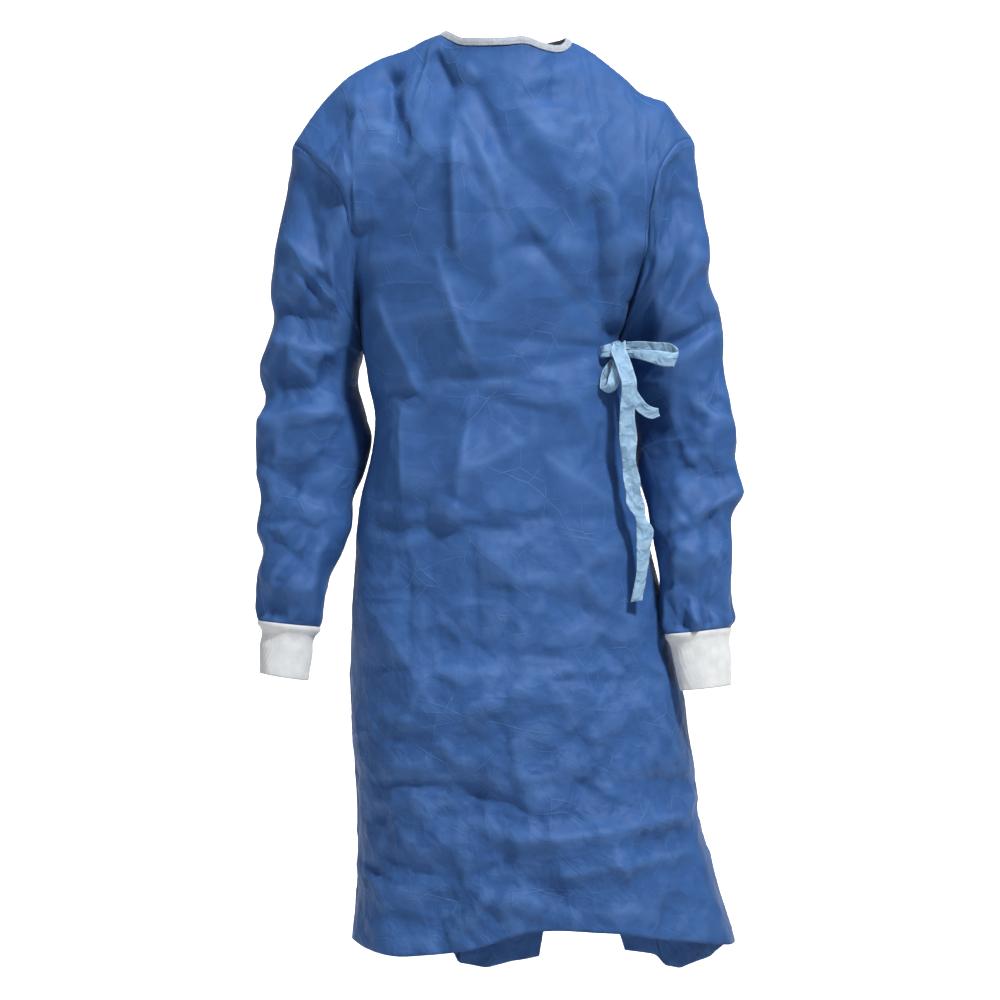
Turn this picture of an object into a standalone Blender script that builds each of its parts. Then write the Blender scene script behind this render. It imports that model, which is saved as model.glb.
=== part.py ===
"""A disposable surgical gown in the hollow form that it keeps when worn, with no wearer.

Metres, +Z up. The front faces -Y and the wearer's left side is towards +X. The origin is
the point between the shoulders where a wearer bears the gown, level with the neck seam.
Each piece that a maker cuts and sews on is one object: a wall of cloth made from an open
grid of points, thickened inwards.
"""

import math
from collections import namedtuple

import bmesh
import bpy
import numpy as np

# Thickness of each material
BODY_CLOTH = 0.0012
KNIT_CLOTH = 0.0018
BINDING_CLOTH = 0.0020
TIE_CLOTH = 0.0010

# Seams: half of the gap between two panels, as an angle round the body and as a share of a column
SEAM_GAP = 0.0003
SEAM_PHI = 0.06
SEAM_SHARE = 0.0028
ARMHOLE_LIFT = 0.0008
UNDERARM_LIFT = 0.0022

# The body, as sections at a drop below the origin: how far it reaches on each side
UNDERARM_DROP = 0.335
HEM_DROP = 1.18
SKIRT_LENGTH = HEM_DROP - UNDERARM_DROP
SQUARENESS = 2.3
NECK_SPAN = 38.0
SIDE_PHI = 90.0
Section = namedtuple("Section", "drop left right front back")
SECTIONS = (
    Section(0.000, -0.200, 0.190, 0.085, 0.085),
    Section(0.150, -0.207, 0.196, 0.118, 0.116),
    Section(0.250, -0.198, 0.186, 0.130, 0.124),
    Section(0.335, -0.189, 0.169, 0.131, 0.120),
    Section(0.365, -0.187, 0.160, 0.128, 0.115),
    Section(0.400, -0.184, 0.150, 0.125, 0.112),
    Section(0.425, -0.180, 0.155, 0.124, 0.110),
    Section(0.450, -0.176, 0.160, 0.122, 0.108),
    Section(0.485, -0.168, 0.165, 0.123, 0.110),
    Section(0.535, -0.172, 0.171, 0.126, 0.116),
    Section(0.600, -0.188, 0.180, 0.131, 0.124),
    Section(0.680, -0.195, 0.1970, 0.138, 0.136),
    Section(0.740, -0.198, 0.2130, 0.142, 0.143),
    Section(0.800, -0.201, 0.2235, 0.146, 0.149),
    Section(0.850, -0.201, 0.235, 0.149, 0.154),
    Section(0.900, -0.199, 0.243, 0.152, 0.159),
    Section(0.960, -0.195, 0.252, 0.156, 0.164),
    Section(1.010, -0.192, 0.256, 0.158, 0.167),
    Section(1.050, -0.192, 0.267, 0.161, 0.170),
    Section(1.090, -0.192, 0.278, 0.163, 0.174),
    Section(1.180, -0.199, 0.305, 0.168, 0.181),
    Section(1.250, -0.203, 0.320, 0.172, 0.186),
)

# Soft vertical flutes of the skirt: where they stand round the body, and how they grow with the drop
Flute = namedtuple("Flute", "phi width out start full")
FLUTES = (
    Flute(-48, 15, 0.006, 0.62, 1.15),
    Flute(-16, 12, -0.006, 0.80, 1.18),
    Flute(14, 13, 0.007, 0.85, 1.18),
    Flute(44, 12, -0.008, 0.70, 1.15),
    Flute(66, 9, 0.006, 0.80, 1.18),
    Flute(118, 13, -0.011, 0.60, 1.15),
    Flute(146, 11, 0.008, 0.55, 1.15),
    Flute(-115, 13, -0.009, 0.60, 1.15),
    Flute(-142, 11, 0.009, 0.50, 1.10),
    Flute(-170, 12, -0.008, 0.55, 1.15),
)

# The neck seam: its half width and its reach to the front and back, and its height round the neck
NECK_MIDDLE = 0.003
NECK_HALF_WIDTH = 0.0875
NECK_FRONT = 0.086
NECK_BACK = 0.076
NeckHeight = namedtuple("NeckHeight", "angle z")
NECK_HEIGHTS = (
    NeckHeight(-270, 0.0044),
    NeckHeight(-240, 0.002),
    NeckHeight(-180, -0.004),
    NeckHeight(-130, 0.005),
    NeckHeight(-90, 0.0135),
    NeckHeight(-78, 0.0115),
    NeckHeight(-55, 0.0012),
    NeckHeight(-43, -0.0055),
    NeckHeight(-25, -0.0085),
    NeckHeight(0, -0.0086),
    NeckHeight(18, -0.0068),
    NeckHeight(32, -0.0126),
    NeckHeight(45, -0.0152),
    NeckHeight(57, -0.0136),
    NeckHeight(73, -0.0054),
    NeckHeight(90, 0.0044),
    NeckHeight(120, 0.002),
    NeckHeight(180, -0.004),
    NeckHeight(230, 0.005),
    NeckHeight(270, 0.0135),
)
BINDING_HEIGHT = 0.0100
BINDING_GAP = 0.0008
BINDING_LEAN = 10.0
BINDING_SIDE_LEAN = 62.0
BINDING_SIDE_SPAN = 34.0

# The shoulder seams, from the neck to the armhole; the armholes follow, from the top round the front
Point = namedtuple("Point", "x y z")
SHOULDER_LEFT = (
    Point(-0.0845, 0.000, 0.0135),
    Point(-0.1038, 0.002, 0.0055),
    Point(-0.1230, 0.003, -0.0045),
    Point(-0.1423, 0.004, -0.0110),
    Point(-0.1615, 0.004, -0.0175),
    Point(-0.1808, 0.004, -0.0275),
    Point(-0.2000, 0.003, -0.0390),
    Point(-0.2193, 0.002, -0.0560),
    Point(-0.2385, 0.001, -0.0765),
    Point(-0.2578, 0.000, -0.1025),
    Point(-0.2770, 0.000, -0.1330),
)
SHOULDER_RIGHT = (
    Point(0.0905, 0.000, 0.0044),
    Point(0.1080, 0.002, -0.0045),
    Point(0.1260, 0.003, -0.0170),
    Point(0.1440, 0.003, -0.0310),
    Point(0.1620, 0.003, -0.0455),
    Point(0.1795, 0.002, -0.0620),
    Point(0.1970, 0.001, -0.0695),
    Point(0.2150, 0.000, -0.0765),
    Point(0.2330, 0.000, -0.1020),
    Point(0.2505, 0.000, -0.1260),
)
ARMHOLE_LEFT = (
    Point(-0.277, 0.000, -0.133),
    Point(-0.246, -0.058, -0.158),
    Point(-0.209, -0.080, -0.205),
    Point(-0.196, -0.056, -0.292),
    Point(-0.189, 0.000, -0.335),
    Point(-0.198, 0.056, -0.290),
    Point(-0.212, 0.083, -0.205),
    Point(-0.246, 0.060, -0.156),
)
ARMHOLE_RIGHT = (
    Point(0.2505, 0.000, -0.126),
    Point(0.226, -0.055, -0.137),
    Point(0.198, -0.077, -0.187),
    Point(0.184, -0.055, -0.285),
    Point(0.173, 0.000, -0.335),
    Point(0.187, 0.055, -0.285),
    Point(0.200, 0.080, -0.192),
    Point(0.224, 0.058, -0.139),
)
ARMHOLE_EASE = 52.0
SHOULDER_ARCH = 0.62
NECK_ARCH = 0.25

# The hem: its height under each x, on the front and on the two back flaps
HemPoint = namedtuple("HemPoint", "x z")
HEM_FRONT = (
    HemPoint(-0.200, -1.174),
    HemPoint(-0.180, -1.184),
    HemPoint(-0.140, -1.190),
    HemPoint(-0.100, -1.186),
    HemPoint(-0.050, -1.180),
    HemPoint(-0.010, -1.169),
    HemPoint(0.030, -1.154),
    HemPoint(0.080, -1.151),
    HemPoint(0.150, -1.156),
    HemPoint(0.200, -1.166),
    HemPoint(0.260, -1.175),
    HemPoint(0.307, -1.181),
)
HEM_BACK_LEFT = (
    HemPoint(0.155, -1.213),
    HemPoint(0.195, -1.218),
    HemPoint(0.203, -1.221),
    HemPoint(0.208, -1.233),
    HemPoint(0.230, -1.235),
    HemPoint(0.275, -1.210),
    HemPoint(0.306, -1.181),
)
HEM_BACK_RIGHT = (
    HemPoint(-0.200, -1.174),
    HemPoint(-0.150, -1.196),
    HemPoint(-0.080, -1.206),
    HemPoint(-0.069, -1.209),
    HemPoint(-0.063, -1.231),
    HemPoint(-0.024, -1.238),
    HemPoint(0.010, -1.229),
    HemPoint(0.050, -1.221),
)

# How far round the body each back flap reaches, by drop; the right flap lies over the left one
FlapEdge = namedtuple("FlapEdge", "drop left right")
FLAP_EDGES = (
    FlapEdge(0.00, 190.0, 190.0),
    FlapEdge(0.20, 200.0, 206.0),
    FlapEdge(0.40, 209.0, 229.0),
    FlapEdge(0.55, 197.0, 218.0),
    FlapEdge(0.80, 177.0, 199.5),
    FlapEdge(1.00, 166.6, 186.6),
    FlapEdge(1.10, 161.6, 181.8),
    FlapEdge(1.20, 157.3, 178.5),
)
HEM_STEP_SHARE = 0.015
FLAP_LIFT = 0.0045
LIFT_RUN = 30.0
LIFT_LEAD = 4.0

# The largest folds of the front, as soft ridges (positive height) and troughs
Fold = namedtuple("Fold", "x0 z0 x1 z1 height width")
FRONT_FOLDS = (
    Fold(-0.146, -0.045, -0.146, -0.110, -0.010, 0.012),
    Fold(-0.130, -0.125, -0.172, -0.190, -0.006, 0.012),
    Fold(-0.036, -0.065, -0.005, -0.150, -0.006, 0.011),
    Fold(-0.048, -0.150, 0.010, -0.268, -0.005, 0.013),
    Fold(-0.064, -0.110, -0.058, -0.262, 0.005, 0.012),
    Fold(0.040, -0.120, 0.120, -0.250, 0.006, 0.020),
    Fold(0.036, -0.270, 0.138, -0.385, -0.008, 0.014),
    Fold(0.117, -0.215, 0.141, -0.380, -0.007, 0.011),
    Fold(-0.170, -0.462, 0.100, -0.425, -0.005, 0.012),
    Fold(-0.100, -0.490, -0.100, -0.600, -0.005, 0.020),
    Fold(-0.042, -0.480, -0.064, -0.625, 0.006, 0.015),
    Fold(-0.160, -0.640, 0.010, -0.638, -0.004, 0.012),
    Fold(-0.160, -0.962, 0.225, -0.958, -0.004, 0.012),
    Fold(0.020, -1.040, 0.230, -1.012, 0.006, 0.014),
    Fold(0.060, -1.082, 0.230, -1.062, 0.006, 0.014),
    Fold(-0.020, -1.108, 0.085, -1.142, 0.008, 0.016),
)
FOLD_SEAM_FADE = 16.0

# Sleeves: for each ring the outer and inner edge, their places in depth, and half of its depth
Ring = namedtuple("Ring", "outer_x outer_z inner_x inner_z outer_y inner_y half_depth")
SLEEVE_RINGS_RIGHT_ARM = (
    Ring(-0.287, -0.205, -0.1890, -0.368, 0.000, 0.010, 0.078),
    Ring(-0.300, -0.285, -0.1850, -0.392, -0.003, 0.028, 0.075),
    Ring(-0.307, -0.325, -0.1870, -0.412, -0.005, 0.036, 0.073),
    Ring(-0.303, -0.362, -0.1900, -0.432, -0.006, 0.038, 0.071),
    Ring(-0.3215, -0.426, -0.1900, -0.456, -0.006, 0.038, 0.069),
    Ring(-0.314, -0.465, -0.1825, -0.487, -0.006, 0.036, 0.066),
    Ring(-0.325, -0.515, -0.1750, -0.518, -0.008, 0.032, 0.067),
    Ring(-0.3235, -0.560, -0.1840, -0.562, -0.012, 0.020, 0.066),
    Ring(-0.318, -0.598, -0.1970, -0.600, -0.014, 0.006, 0.062),
    Ring(-0.3235, -0.640, -0.2020, -0.645, -0.016, -0.010, 0.059),
    Ring(-0.315, -0.667, -0.2145, -0.675, -0.018, -0.018, 0.052),
    Ring(-0.323, -0.698, -0.2280, -0.703, -0.021, -0.021, 0.049),
    Ring(-0.3245, -0.732, -0.2345, -0.740, -0.024, -0.024, 0.043),
    Ring(-0.3215, -0.7575, -0.2400, -0.7660, -0.026, -0.026, 0.037),
)
SLEEVE_RINGS_LEFT_ARM = (
    Ring(0.259, -0.192, 0.1610, -0.368, 0.000, 0.018, 0.077),
    Ring(0.268, -0.262, 0.1540, -0.392, 0.000, 0.051, 0.074),
    Ring(0.2725, -0.322, 0.1520, -0.415, 0.000, 0.070, 0.072),
    Ring(0.288, -0.362, 0.1500, -0.438, -0.002, 0.072, 0.071),
    Ring(0.2895, -0.412, 0.1560, -0.462, -0.006, 0.068, 0.069),
    Ring(0.2975, -0.470, 0.1665, -0.500, -0.014, 0.062, 0.068),
    Ring(0.3055, -0.510, 0.1740, -0.532, -0.020, 0.044, 0.066),
    Ring(0.3025, -0.542, 0.1780, -0.562, -0.026, 0.028, 0.064),
    Ring(0.314, -0.588, 0.1890, -0.602, -0.032, 0.000, 0.061),
    Ring(0.302, -0.622, 0.1935, -0.630, -0.037, -0.022, 0.056),
    Ring(0.300, -0.670, 0.2000, -0.674, -0.044, -0.045, 0.051),
    Ring(0.2965, -0.718, 0.2070, -0.724, -0.050, -0.062, 0.045),
    Ring(0.2975, -0.7655, 0.2110, -0.7740, -0.055, -0.074, 0.038),
)
CUFF_RINGS_RIGHT_ARM = (
    Ring(-0.3215, -0.7577, -0.2400, -0.7662, -0.026, -0.026, 0.037),
    Ring(-0.3210, -0.7640, -0.2410, -0.7730, -0.026, -0.026, 0.0365),
    Ring(-0.3178, -0.7690, -0.2450, -0.7780, -0.026, -0.026, 0.034),
    Ring(-0.319, -0.792, -0.2500, -0.802, -0.027, -0.027, 0.032),
    Ring(-0.320, -0.827, -0.2555, -0.837, -0.028, -0.028, 0.031),
)
CUFF_RINGS_LEFT_ARM = (
    Ring(0.2975, -0.7657, 0.2110, -0.7742, -0.055, -0.074, 0.038),
    Ring(0.2972, -0.7720, 0.2130, -0.7805, -0.055, -0.074, 0.0375),
    Ring(0.2965, -0.7770, 0.2160, -0.7860, -0.055, -0.074, 0.036),
    Ring(0.2975, -0.803, 0.222, -0.812, -0.056, -0.075, 0.034),
    Ring(0.2982, -0.8415, 0.2298, -0.848, -0.057, -0.076, 0.032),
)

# The tie: the knot, and its ribbons as a centre line with half the ribbon's width as a vector
KNOT_PLACE = (0.1490, -0.0650, -0.4050)
KNOT_RADII = (0.0095, 0.0085, 0.0115)
BELT_DROP = 0.402
BELT_HALF_WIDTH = 0.0105
BELT_FROM = 133.0
BELT_TO = 63.0
BELT_LIFT = 0.0031
BELT_END_LIFT = 0.0072
BELT_END_SPAN = 12.0
Station = namedtuple("Station", "x y z across_x across_y across_z")
TIE_ROOT = (
    Station(0.1270, -0.0747, -0.4070, -0.0009, 0.0007, 0.0070),
    Station(0.1300, -0.0830, -0.4065, 0.001, 0.001, 0.0095),
    Station(0.1345, -0.0845, -0.4060, 0.001, 0.001, 0.0108),
    Station(0.1385, -0.0805, -0.4055, 0.001, 0.001, 0.0100),
    Station(0.1412, -0.0711, -0.4050, 0.000, 0.001, 0.0075),
)
LOOP_SIDE = (
    Station(0.1585, -0.0640, -0.3985, 0.000, 0.001, 0.0045),
    Station(0.1740, -0.0660, -0.3995, 0.000, -0.001, 0.0065),
    Station(0.1980, -0.0690, -0.4045, 0.001, -0.002, 0.0100),
    Station(0.2170, -0.0730, -0.4085, 0.002, -0.002, 0.0120),
    Station(0.2262, -0.0800, -0.4170, 0.003, 0.000, 0.0130),
    Station(0.2190, -0.0870, -0.4175, 0.001, 0.001, 0.0115),
    Station(0.2000, -0.0870, -0.4150, -0.001, 0.001, 0.0095),
    Station(0.1780, -0.0815, -0.4110, 0.000, 0.000, 0.0060),
    Station(0.1600, -0.0740, -0.4095, 0.000, -0.001, 0.0040),
)
LOOP_LOWER = (
    Station(0.1440, -0.0690, -0.4168, 0.0040, 0.0020, 0.0000),
    Station(0.1345, -0.0800, -0.4310, 0.0045, 0.0050, 0.0000),
    Station(0.1300, -0.0870, -0.4460, 0.0045, 0.0060, -0.0010),
    Station(0.1315, -0.0930, -0.4590, 0.0060, 0.0050, -0.0030),
    Station(0.1390, -0.0970, -0.4545, 0.0070, 0.0030, -0.0050),
    Station(0.1450, -0.0950, -0.4400, 0.0075, -0.0010, -0.0020),
    Station(0.1465, -0.0880, -0.4280, 0.0055, -0.0010, 0.0000),
    Station(0.1465, -0.0790, -0.4195, 0.0040, 0.0010, 0.0000),
)
TAIL_LONG = (
    Station(0.1515, -0.0708, -0.3945, 0.0080, 0.0010, 0.0020),
    Station(0.1500, -0.0800, -0.4040, 0.0098, 0.0000, 0.0010),
    Station(0.1545, -0.0940, -0.4180, 0.0098, 0.0000, 0.0015),
    Station(0.1595, -0.1040, -0.4350, 0.0098, 0.0000, 0.0015),
    Station(0.1630, -0.1080, -0.4480, 0.0098, 0.0010, 0.0010),
    Station(0.1620, -0.1090, -0.4700, 0.0097, -0.001, 0.0000),
    Station(0.1605, -0.1085, -0.4900, 0.0098, 0.0010, 0.0000),
    Station(0.1620, -0.1080, -0.5200, 0.0115, 0.0010, 0.0000),
    Station(0.1630, -0.1075, -0.5500, 0.0088, -0.002, 0.0000),
    Station(0.1665, -0.1070, -0.5730, 0.0112, 0.0010, 0.0000),
    Station(0.1705, -0.1070, -0.6000, 0.0132, 0.0010, 0.0010),
    Station(0.1785, -0.1075, -0.6240, 0.0070, 0.0040, 0.0000),
    Station(0.1835, -0.1080, -0.6380, 0.0108, -0.002, 0.0000),
    Station(0.1820, -0.1085, -0.6600, 0.0092, 0.0010, 0.0000),
    Station(0.1795, -0.1090, -0.6920, 0.0070, 0.0020, 0.0000),
    Station(0.1725, -0.1095, -0.7310, 0.0076, 0.0010, 0.0010),
)
TAIL_SHORT = (
    Station(0.1536, -0.0681, -0.4146, 0.0045, 0.0010, 0.0020),
    Station(0.1615, -0.0800, -0.4320, 0.0065, 0.0010, 0.0020),
    Station(0.1665, -0.0860, -0.4520, 0.0075, 0.0000, 0.0020),
    Station(0.1730, -0.0890, -0.4700, 0.0065, 0.0000, 0.0045),
    Station(0.1830, -0.0900, -0.4820, 0.0040, 0.0000, 0.0066),
    Station(0.1940, -0.0890, -0.4870, 0.0010, 0.0000, 0.0074),
    Station(0.2025, -0.0870, -0.4860, -0.0010, 0.0000, 0.0050),
)

# The closing tape at the nape, across the edge of the outer flap
TAPE_FROM = 183.0
TAPE_TO = 199.0
TAPE_STEP = 193.0
TAPE_TOP = 0.030
TAPE_BOTTOM = 0.105
TAPE_LIFT = 0.0006

# How finely the pieces are divided
SIDE_COLUMNS = 9
NECK_COLUMNS = 14
FLAP_COLUMNS = 8
CHEST_ROWS = 10
SKIRT_ROWS = 22
SLEEVE_SIDES = 2 * CHEST_ROWS
SLEEVE_ROWS = 24
BINDING_COLUMNS = 44
RIBBON_ROWS = 16
LONG_RIBBON_ROWS = 30
BELT_COLUMNS = 14

Paint = namedtuple("Paint", "red green blue roughness")
GOWN_BLUE = Paint(0.070, 0.160, 0.430, 0.62)
TIE_BLUE = Paint(0.270, 0.450, 0.700, 0.60)
CUFF_WHITE = Paint(0.760, 0.775, 0.780, 0.85)
BINDING_GREY = Paint(0.560, 0.600, 0.660, 0.80)


def smooth(at, keys, values):
    """A cubic through values (one number or one point for each key), read at any place."""
    keys = np.asarray(keys, float)
    values = np.asarray(values, float)
    slopes = np.gradient(values, keys, axis=0)
    at = np.clip(np.asarray(at, float), keys[0], keys[-1])
    i = np.clip(np.searchsorted(keys, at) - 1, 0, len(keys) - 2)
    span = keys[i + 1] - keys[i]
    t = (at - keys[i]) / span
    if values.ndim > 1:
        t = t[..., None]
        span = span[..., None]
    rise = t * t * (3 - 2 * t)
    lead = (t**3 - 2 * t**2 + t) * span
    trail = (t**3 - t**2) * span
    return values[i] * (1 - rise) + values[i + 1] * rise + lead * slopes[i] + trail * slopes[i + 1]


def ramp(value, low, high):
    """0 below low, 1 above high, and smooth between them."""
    t = np.clip((value - low) / (high - low), 0, 1)
    return t * t * (3 - 2 * t)


def column(rows, name):
    return [getattr(row, name) for row in rows]


def signed_power(value, power):
    return np.sign(value) * np.abs(value) ** power


def turn_between(phi, other):
    """The smallest angle from other to phi, in degrees."""
    return (np.asarray(phi, float) - other + 180) % 360 - 180


def body_xy(phi, drop):
    """The body's outer surface at the angle phi from the front, in degrees, and a drop."""
    keys = column(SECTIONS, "drop")
    left, right, front, back = (smooth(drop, keys, column(SECTIONS, n)) for n in Section._fields[1:])
    across = signed_power(np.sin(np.radians(phi)), 2 / SQUARENESS)
    along = signed_power(np.cos(np.radians(phi)), 2 / SQUARENESS)
    out = flute(phi, drop)
    x = (left + right) / 2 + (right - left) / 2 * across + out * np.sin(np.radians(phi))
    y = -along * np.where(along > 0, front, back) - out * np.cos(np.radians(phi))
    return x, y


def flute(phi, drop):
    out = np.zeros(np.broadcast(phi, drop).shape)
    for row in FLUTES:
        share = np.exp(-((turn_between(phi, row.phi) / row.width) ** 2))
        out = out + row.out * share * ramp(drop, row.start, row.full)
    return out


def neck_angle(phi):
    """The angle round the neck seam where a column of the body starts."""
    phi = np.asarray(phi, float)
    side = np.sign(phi)
    share = np.where(np.abs(phi) <= 90, np.abs(phi), 180 - np.abs(phi)) / NECK_SPAN
    level = np.degrees(np.arcsin(np.clip(share, -1, 1)))
    turn = (level + 90 * share) / 2
    return side * np.where(np.abs(phi) <= 90, turn, 180 - turn)


def neck_edge(angle):
    """The neck seam at an angle round the neck, 0 at the front and 90 at the wearer's left."""
    turn = np.radians(angle)
    x = NECK_MIDDLE + NECK_HALF_WIDTH * np.sin(turn)
    y = -np.cos(turn) * np.where(np.cos(turn) > 0, NECK_FRONT, NECK_BACK)
    z = smooth(angle, column(NECK_HEIGHTS, "angle"), column(NECK_HEIGHTS, "z"))
    return np.stack([x, y, z], axis=-1)


def shoulder_edge(side, share):
    points = SHOULDER_RIGHT if side > 0 else SHOULDER_LEFT
    return smooth(share, np.linspace(0, 1, len(points)), points)


def armhole_edge(side, turn):
    """The armhole at a turn in degrees: 0 at the top, 90 in front, 180 under the arm."""
    points = ARMHOLE_RIGHT if side > 0 else ARMHOLE_LEFT
    ring = points[-3:] + points + points[:4]
    keys = (np.arange(len(ring)) - 3) * 360 / len(points)
    return smooth(np.asarray(turn, float) % 360, keys, ring)


def top_edge(phi):
    """Where the column at phi starts: on the neck seam or on a shoulder seam."""
    phi = np.asarray(phi, float)
    folded = np.where(np.abs(phi) <= 90, np.abs(phi), 180 - np.abs(phi))
    share = np.clip((folded - NECK_SPAN) / (SIDE_PHI - NECK_SPAN), 0, 1)
    left = shoulder_edge(-1, share)
    right = shoulder_edge(1, share)
    shoulder = np.where((phi > 0)[..., None], right, left)
    return np.where((folded < NECK_SPAN)[..., None], neck_edge(neck_angle(phi)), shoulder)


def chest_column(phi, share):
    """A column from the top edge down to the underarm, before the armhole pulls it aside."""
    top = top_edge(phi)
    folded = np.where(np.abs(phi) <= 90, np.abs(phi), 180 - np.abs(phi))
    arch_share = NECK_ARCH + (1 - NECK_ARCH) * ramp(folded, 0.2 * NECK_SPAN, 1.1 * NECK_SPAN)
    in_arch = np.minimum(share / SHOULDER_ARCH, 1) * math.pi / 2
    after = np.maximum(share - SHOULDER_ARCH, 0) * math.pi / (2 * SHOULDER_ARCH)
    whole = 1 + (1 - SHOULDER_ARCH) * math.pi / (2 * SHOULDER_ARCH)
    fall = arch_share * (1 - np.cos(in_arch) + after) / whole + (1 - arch_share) * share
    reach = arch_share * np.sin(in_arch) + (1 - arch_share) * (1 - (1 - share) ** 2)
    z = top[..., 2] + (-UNDERARM_DROP - top[..., 2]) * fall
    body_x, body_y = body_xy(phi, -z)
    spread = 1 - (1 - share) ** 2
    x = top[..., 0] + (body_x - top[..., 0]) * spread
    y = top[..., 1] + (body_y - top[..., 1]) * reach
    return np.stack([x, y, z], axis=-1)


def chest(phi, share):
    """The body above the underarm: share 0 on the top edge, 1 at the underarm."""
    phi, share = np.broadcast_arrays(turn_between(phi, 0), np.asarray(share, float))
    points = chest_column(phi, share)
    behind = np.abs(phi) > 90
    for side in (-1, 1):
        for back in (False, True):
            turn = 360 - 180 * share if back else 180 * share
            edge_phi = side * np.where(back, SIDE_PHI + 1e-6, SIDE_PHI)
            pull = armhole_edge(side, turn) - chest_column(np.full(phi.shape, edge_phi), share)
            near = np.clip(1 - np.abs(90 - np.abs(phi)) / ARMHOLE_EASE, 0, 1) ** 2
            here = (np.sign(phi) == side) & (behind == back)
            points = points + pull * (near * here)[..., None]
    return points


def hem_z(phi, hem):
    x, _ = body_xy(phi, HEM_DROP)
    return np.interp(x, column(hem, "x"), column(hem, "z"))


def skirt(phi, share, hem):
    """The body below the underarm: share 0 at the underarm, 1 at the hem."""
    phi, share = np.broadcast_arrays(turn_between(phi, 0), np.asarray(share, float))
    z = -UNDERARM_DROP + (hem_z(phi, hem) + UNDERARM_DROP) * share
    x, y = body_xy(phi, -z)
    return np.stack([x, y, z], axis=-1)


def row_shares():
    """For each row of a body panel its share of the chest, and then of the skirt."""
    chest_shares = np.linspace(0, 1, CHEST_ROWS + 1)
    chest_shares[0] = SEAM_SHARE
    waist_share = (BELT_DROP - UNDERARM_DROP) / SKIRT_LENGTH
    skirt_shares = np.append(np.linspace(0, 1, SKIRT_ROWS + 1)[1:], waist_share)
    return chest_shares, np.sort(skirt_shares)


def row_drops():
    in_chest, in_skirt = row_shares()
    return np.concatenate([in_chest * UNDERARM_DROP, UNDERARM_DROP + in_skirt * SKIRT_LENGTH])


def panel(phi_at, hem, columns):
    """The points of a body panel, row by row. phi_at gives a column's angle at a drop."""
    in_chest, in_skirt = row_shares()
    rows = [chest(phi_at(columns, UNDERARM_DROP * share), share) for share in in_chest]
    for share in in_skirt:
        phi = phi_at(columns, UNDERARM_DROP + SKIRT_LENGTH * share)
        rows.append(skirt(phi, share, hem))
    return np.array(rows)


def normals_of(points, closed=False):
    """The outward direction at each point of a grid whose rows run downwards."""
    if closed:
        across = np.roll(points, -1, axis=1) - np.roll(points, 1, axis=1)
    else:
        across = np.gradient(points, axis=1)
    down = np.gradient(points, axis=0)
    out = np.cross(down, across)
    return out / np.linalg.norm(out, axis=2, keepdims=True)


def fold_height(points, folds):
    """How far each point is pushed out by a table of folds, seen from the front."""
    height = np.zeros(points.shape[:2])
    for fold in folds:
        start = np.array([fold.x0, fold.z0])
        run = np.array([fold.x1, fold.z1]) - start
        offset = points[..., [0, 2]] - start
        along = np.clip(offset @ run / (run @ run), 0, 1)
        away = np.linalg.norm(offset - along[..., None] * run, axis=-1)
        height += fold.height * np.exp(-((away / fold.width) ** 2))
    return height


def cloth(name, points, thickness, paint, closed=False, offset=-1.0):
    """One piece of cloth: a grid of points, thickened to a closed wall."""
    mesh = bpy.data.meshes.new(name)
    grid = bmesh.new()
    rows = [[grid.verts.new(p) for p in row] for row in points]
    for upper, lower in zip(rows, rows[1:]):
        for i in range(len(upper) if closed else len(upper) - 1):
            j = (i + 1) % len(upper)
            grid.faces.new((upper[i], lower[i], lower[j], upper[j]))
    grid.to_mesh(mesh)
    grid.free()
    piece = bpy.data.objects.new(name, mesh)
    bpy.data.collections["surgical_gown"].objects.link(piece)
    wall = piece.modifiers.new("wall", "SOLIDIFY")
    wall.thickness = thickness
    wall.offset = offset
    mesh.materials.append(material(paint))
    mesh.shade_smooth()
    return piece


def material(paint):
    name = "cloth_{:.2f}_{:.2f}_{:.2f}".format(paint.red, paint.green, paint.blue)
    made = bpy.data.materials.get(name)
    if made is None:
        made = bpy.data.materials.new(name)
        made.use_nodes = True
        shader = made.node_tree.nodes["Principled BSDF"]
        shader.inputs["Base Color"].default_value = (paint.red, paint.green, paint.blue, 1)
        shader.inputs["Roughness"].default_value = paint.roughness
        shader.inputs["Metallic"].default_value = 0.0
    return made


def front_panel():
    edge = SIDE_PHI - SEAM_PHI
    side = np.linspace(NECK_SPAN, edge, SIDE_COLUMNS + 1)[1:]
    neck = np.linspace(-NECK_SPAN, NECK_SPAN, NECK_COLUMNS + 1)
    columns = np.concatenate([-side[::-1], neck, side])
    points = panel(lambda phi, drop: phi, HEM_FRONT, columns)
    from_seam = SIDE_PHI - np.abs(columns)
    fade = ramp(from_seam, 0, FOLD_SEAM_FADE)[None, :]
    first = ramp(np.arange(len(points)), 0, 2)[:, None]
    height = fold_height(points, FRONT_FOLDS) * fade * first
    points = points + normals_of(points) * height[..., None]
    cloth("front_panel", points, BODY_CLOTH, GOWN_BLUE)


def flap_reach(side, drop):
    name = "left" if side > 0 else "right"
    return smooth(drop, column(FLAP_EDGES, "drop"), column(FLAP_EDGES, name))


def flap_lift(phi, drop):
    """How far the outer flap stands off the inner one, where it passes over it."""
    past = -np.asarray(phi, float) - (360 - flap_reach(1, drop))
    return FLAP_LIFT * ramp(past, -LIFT_RUN, -LIFT_LEAD)


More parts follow.
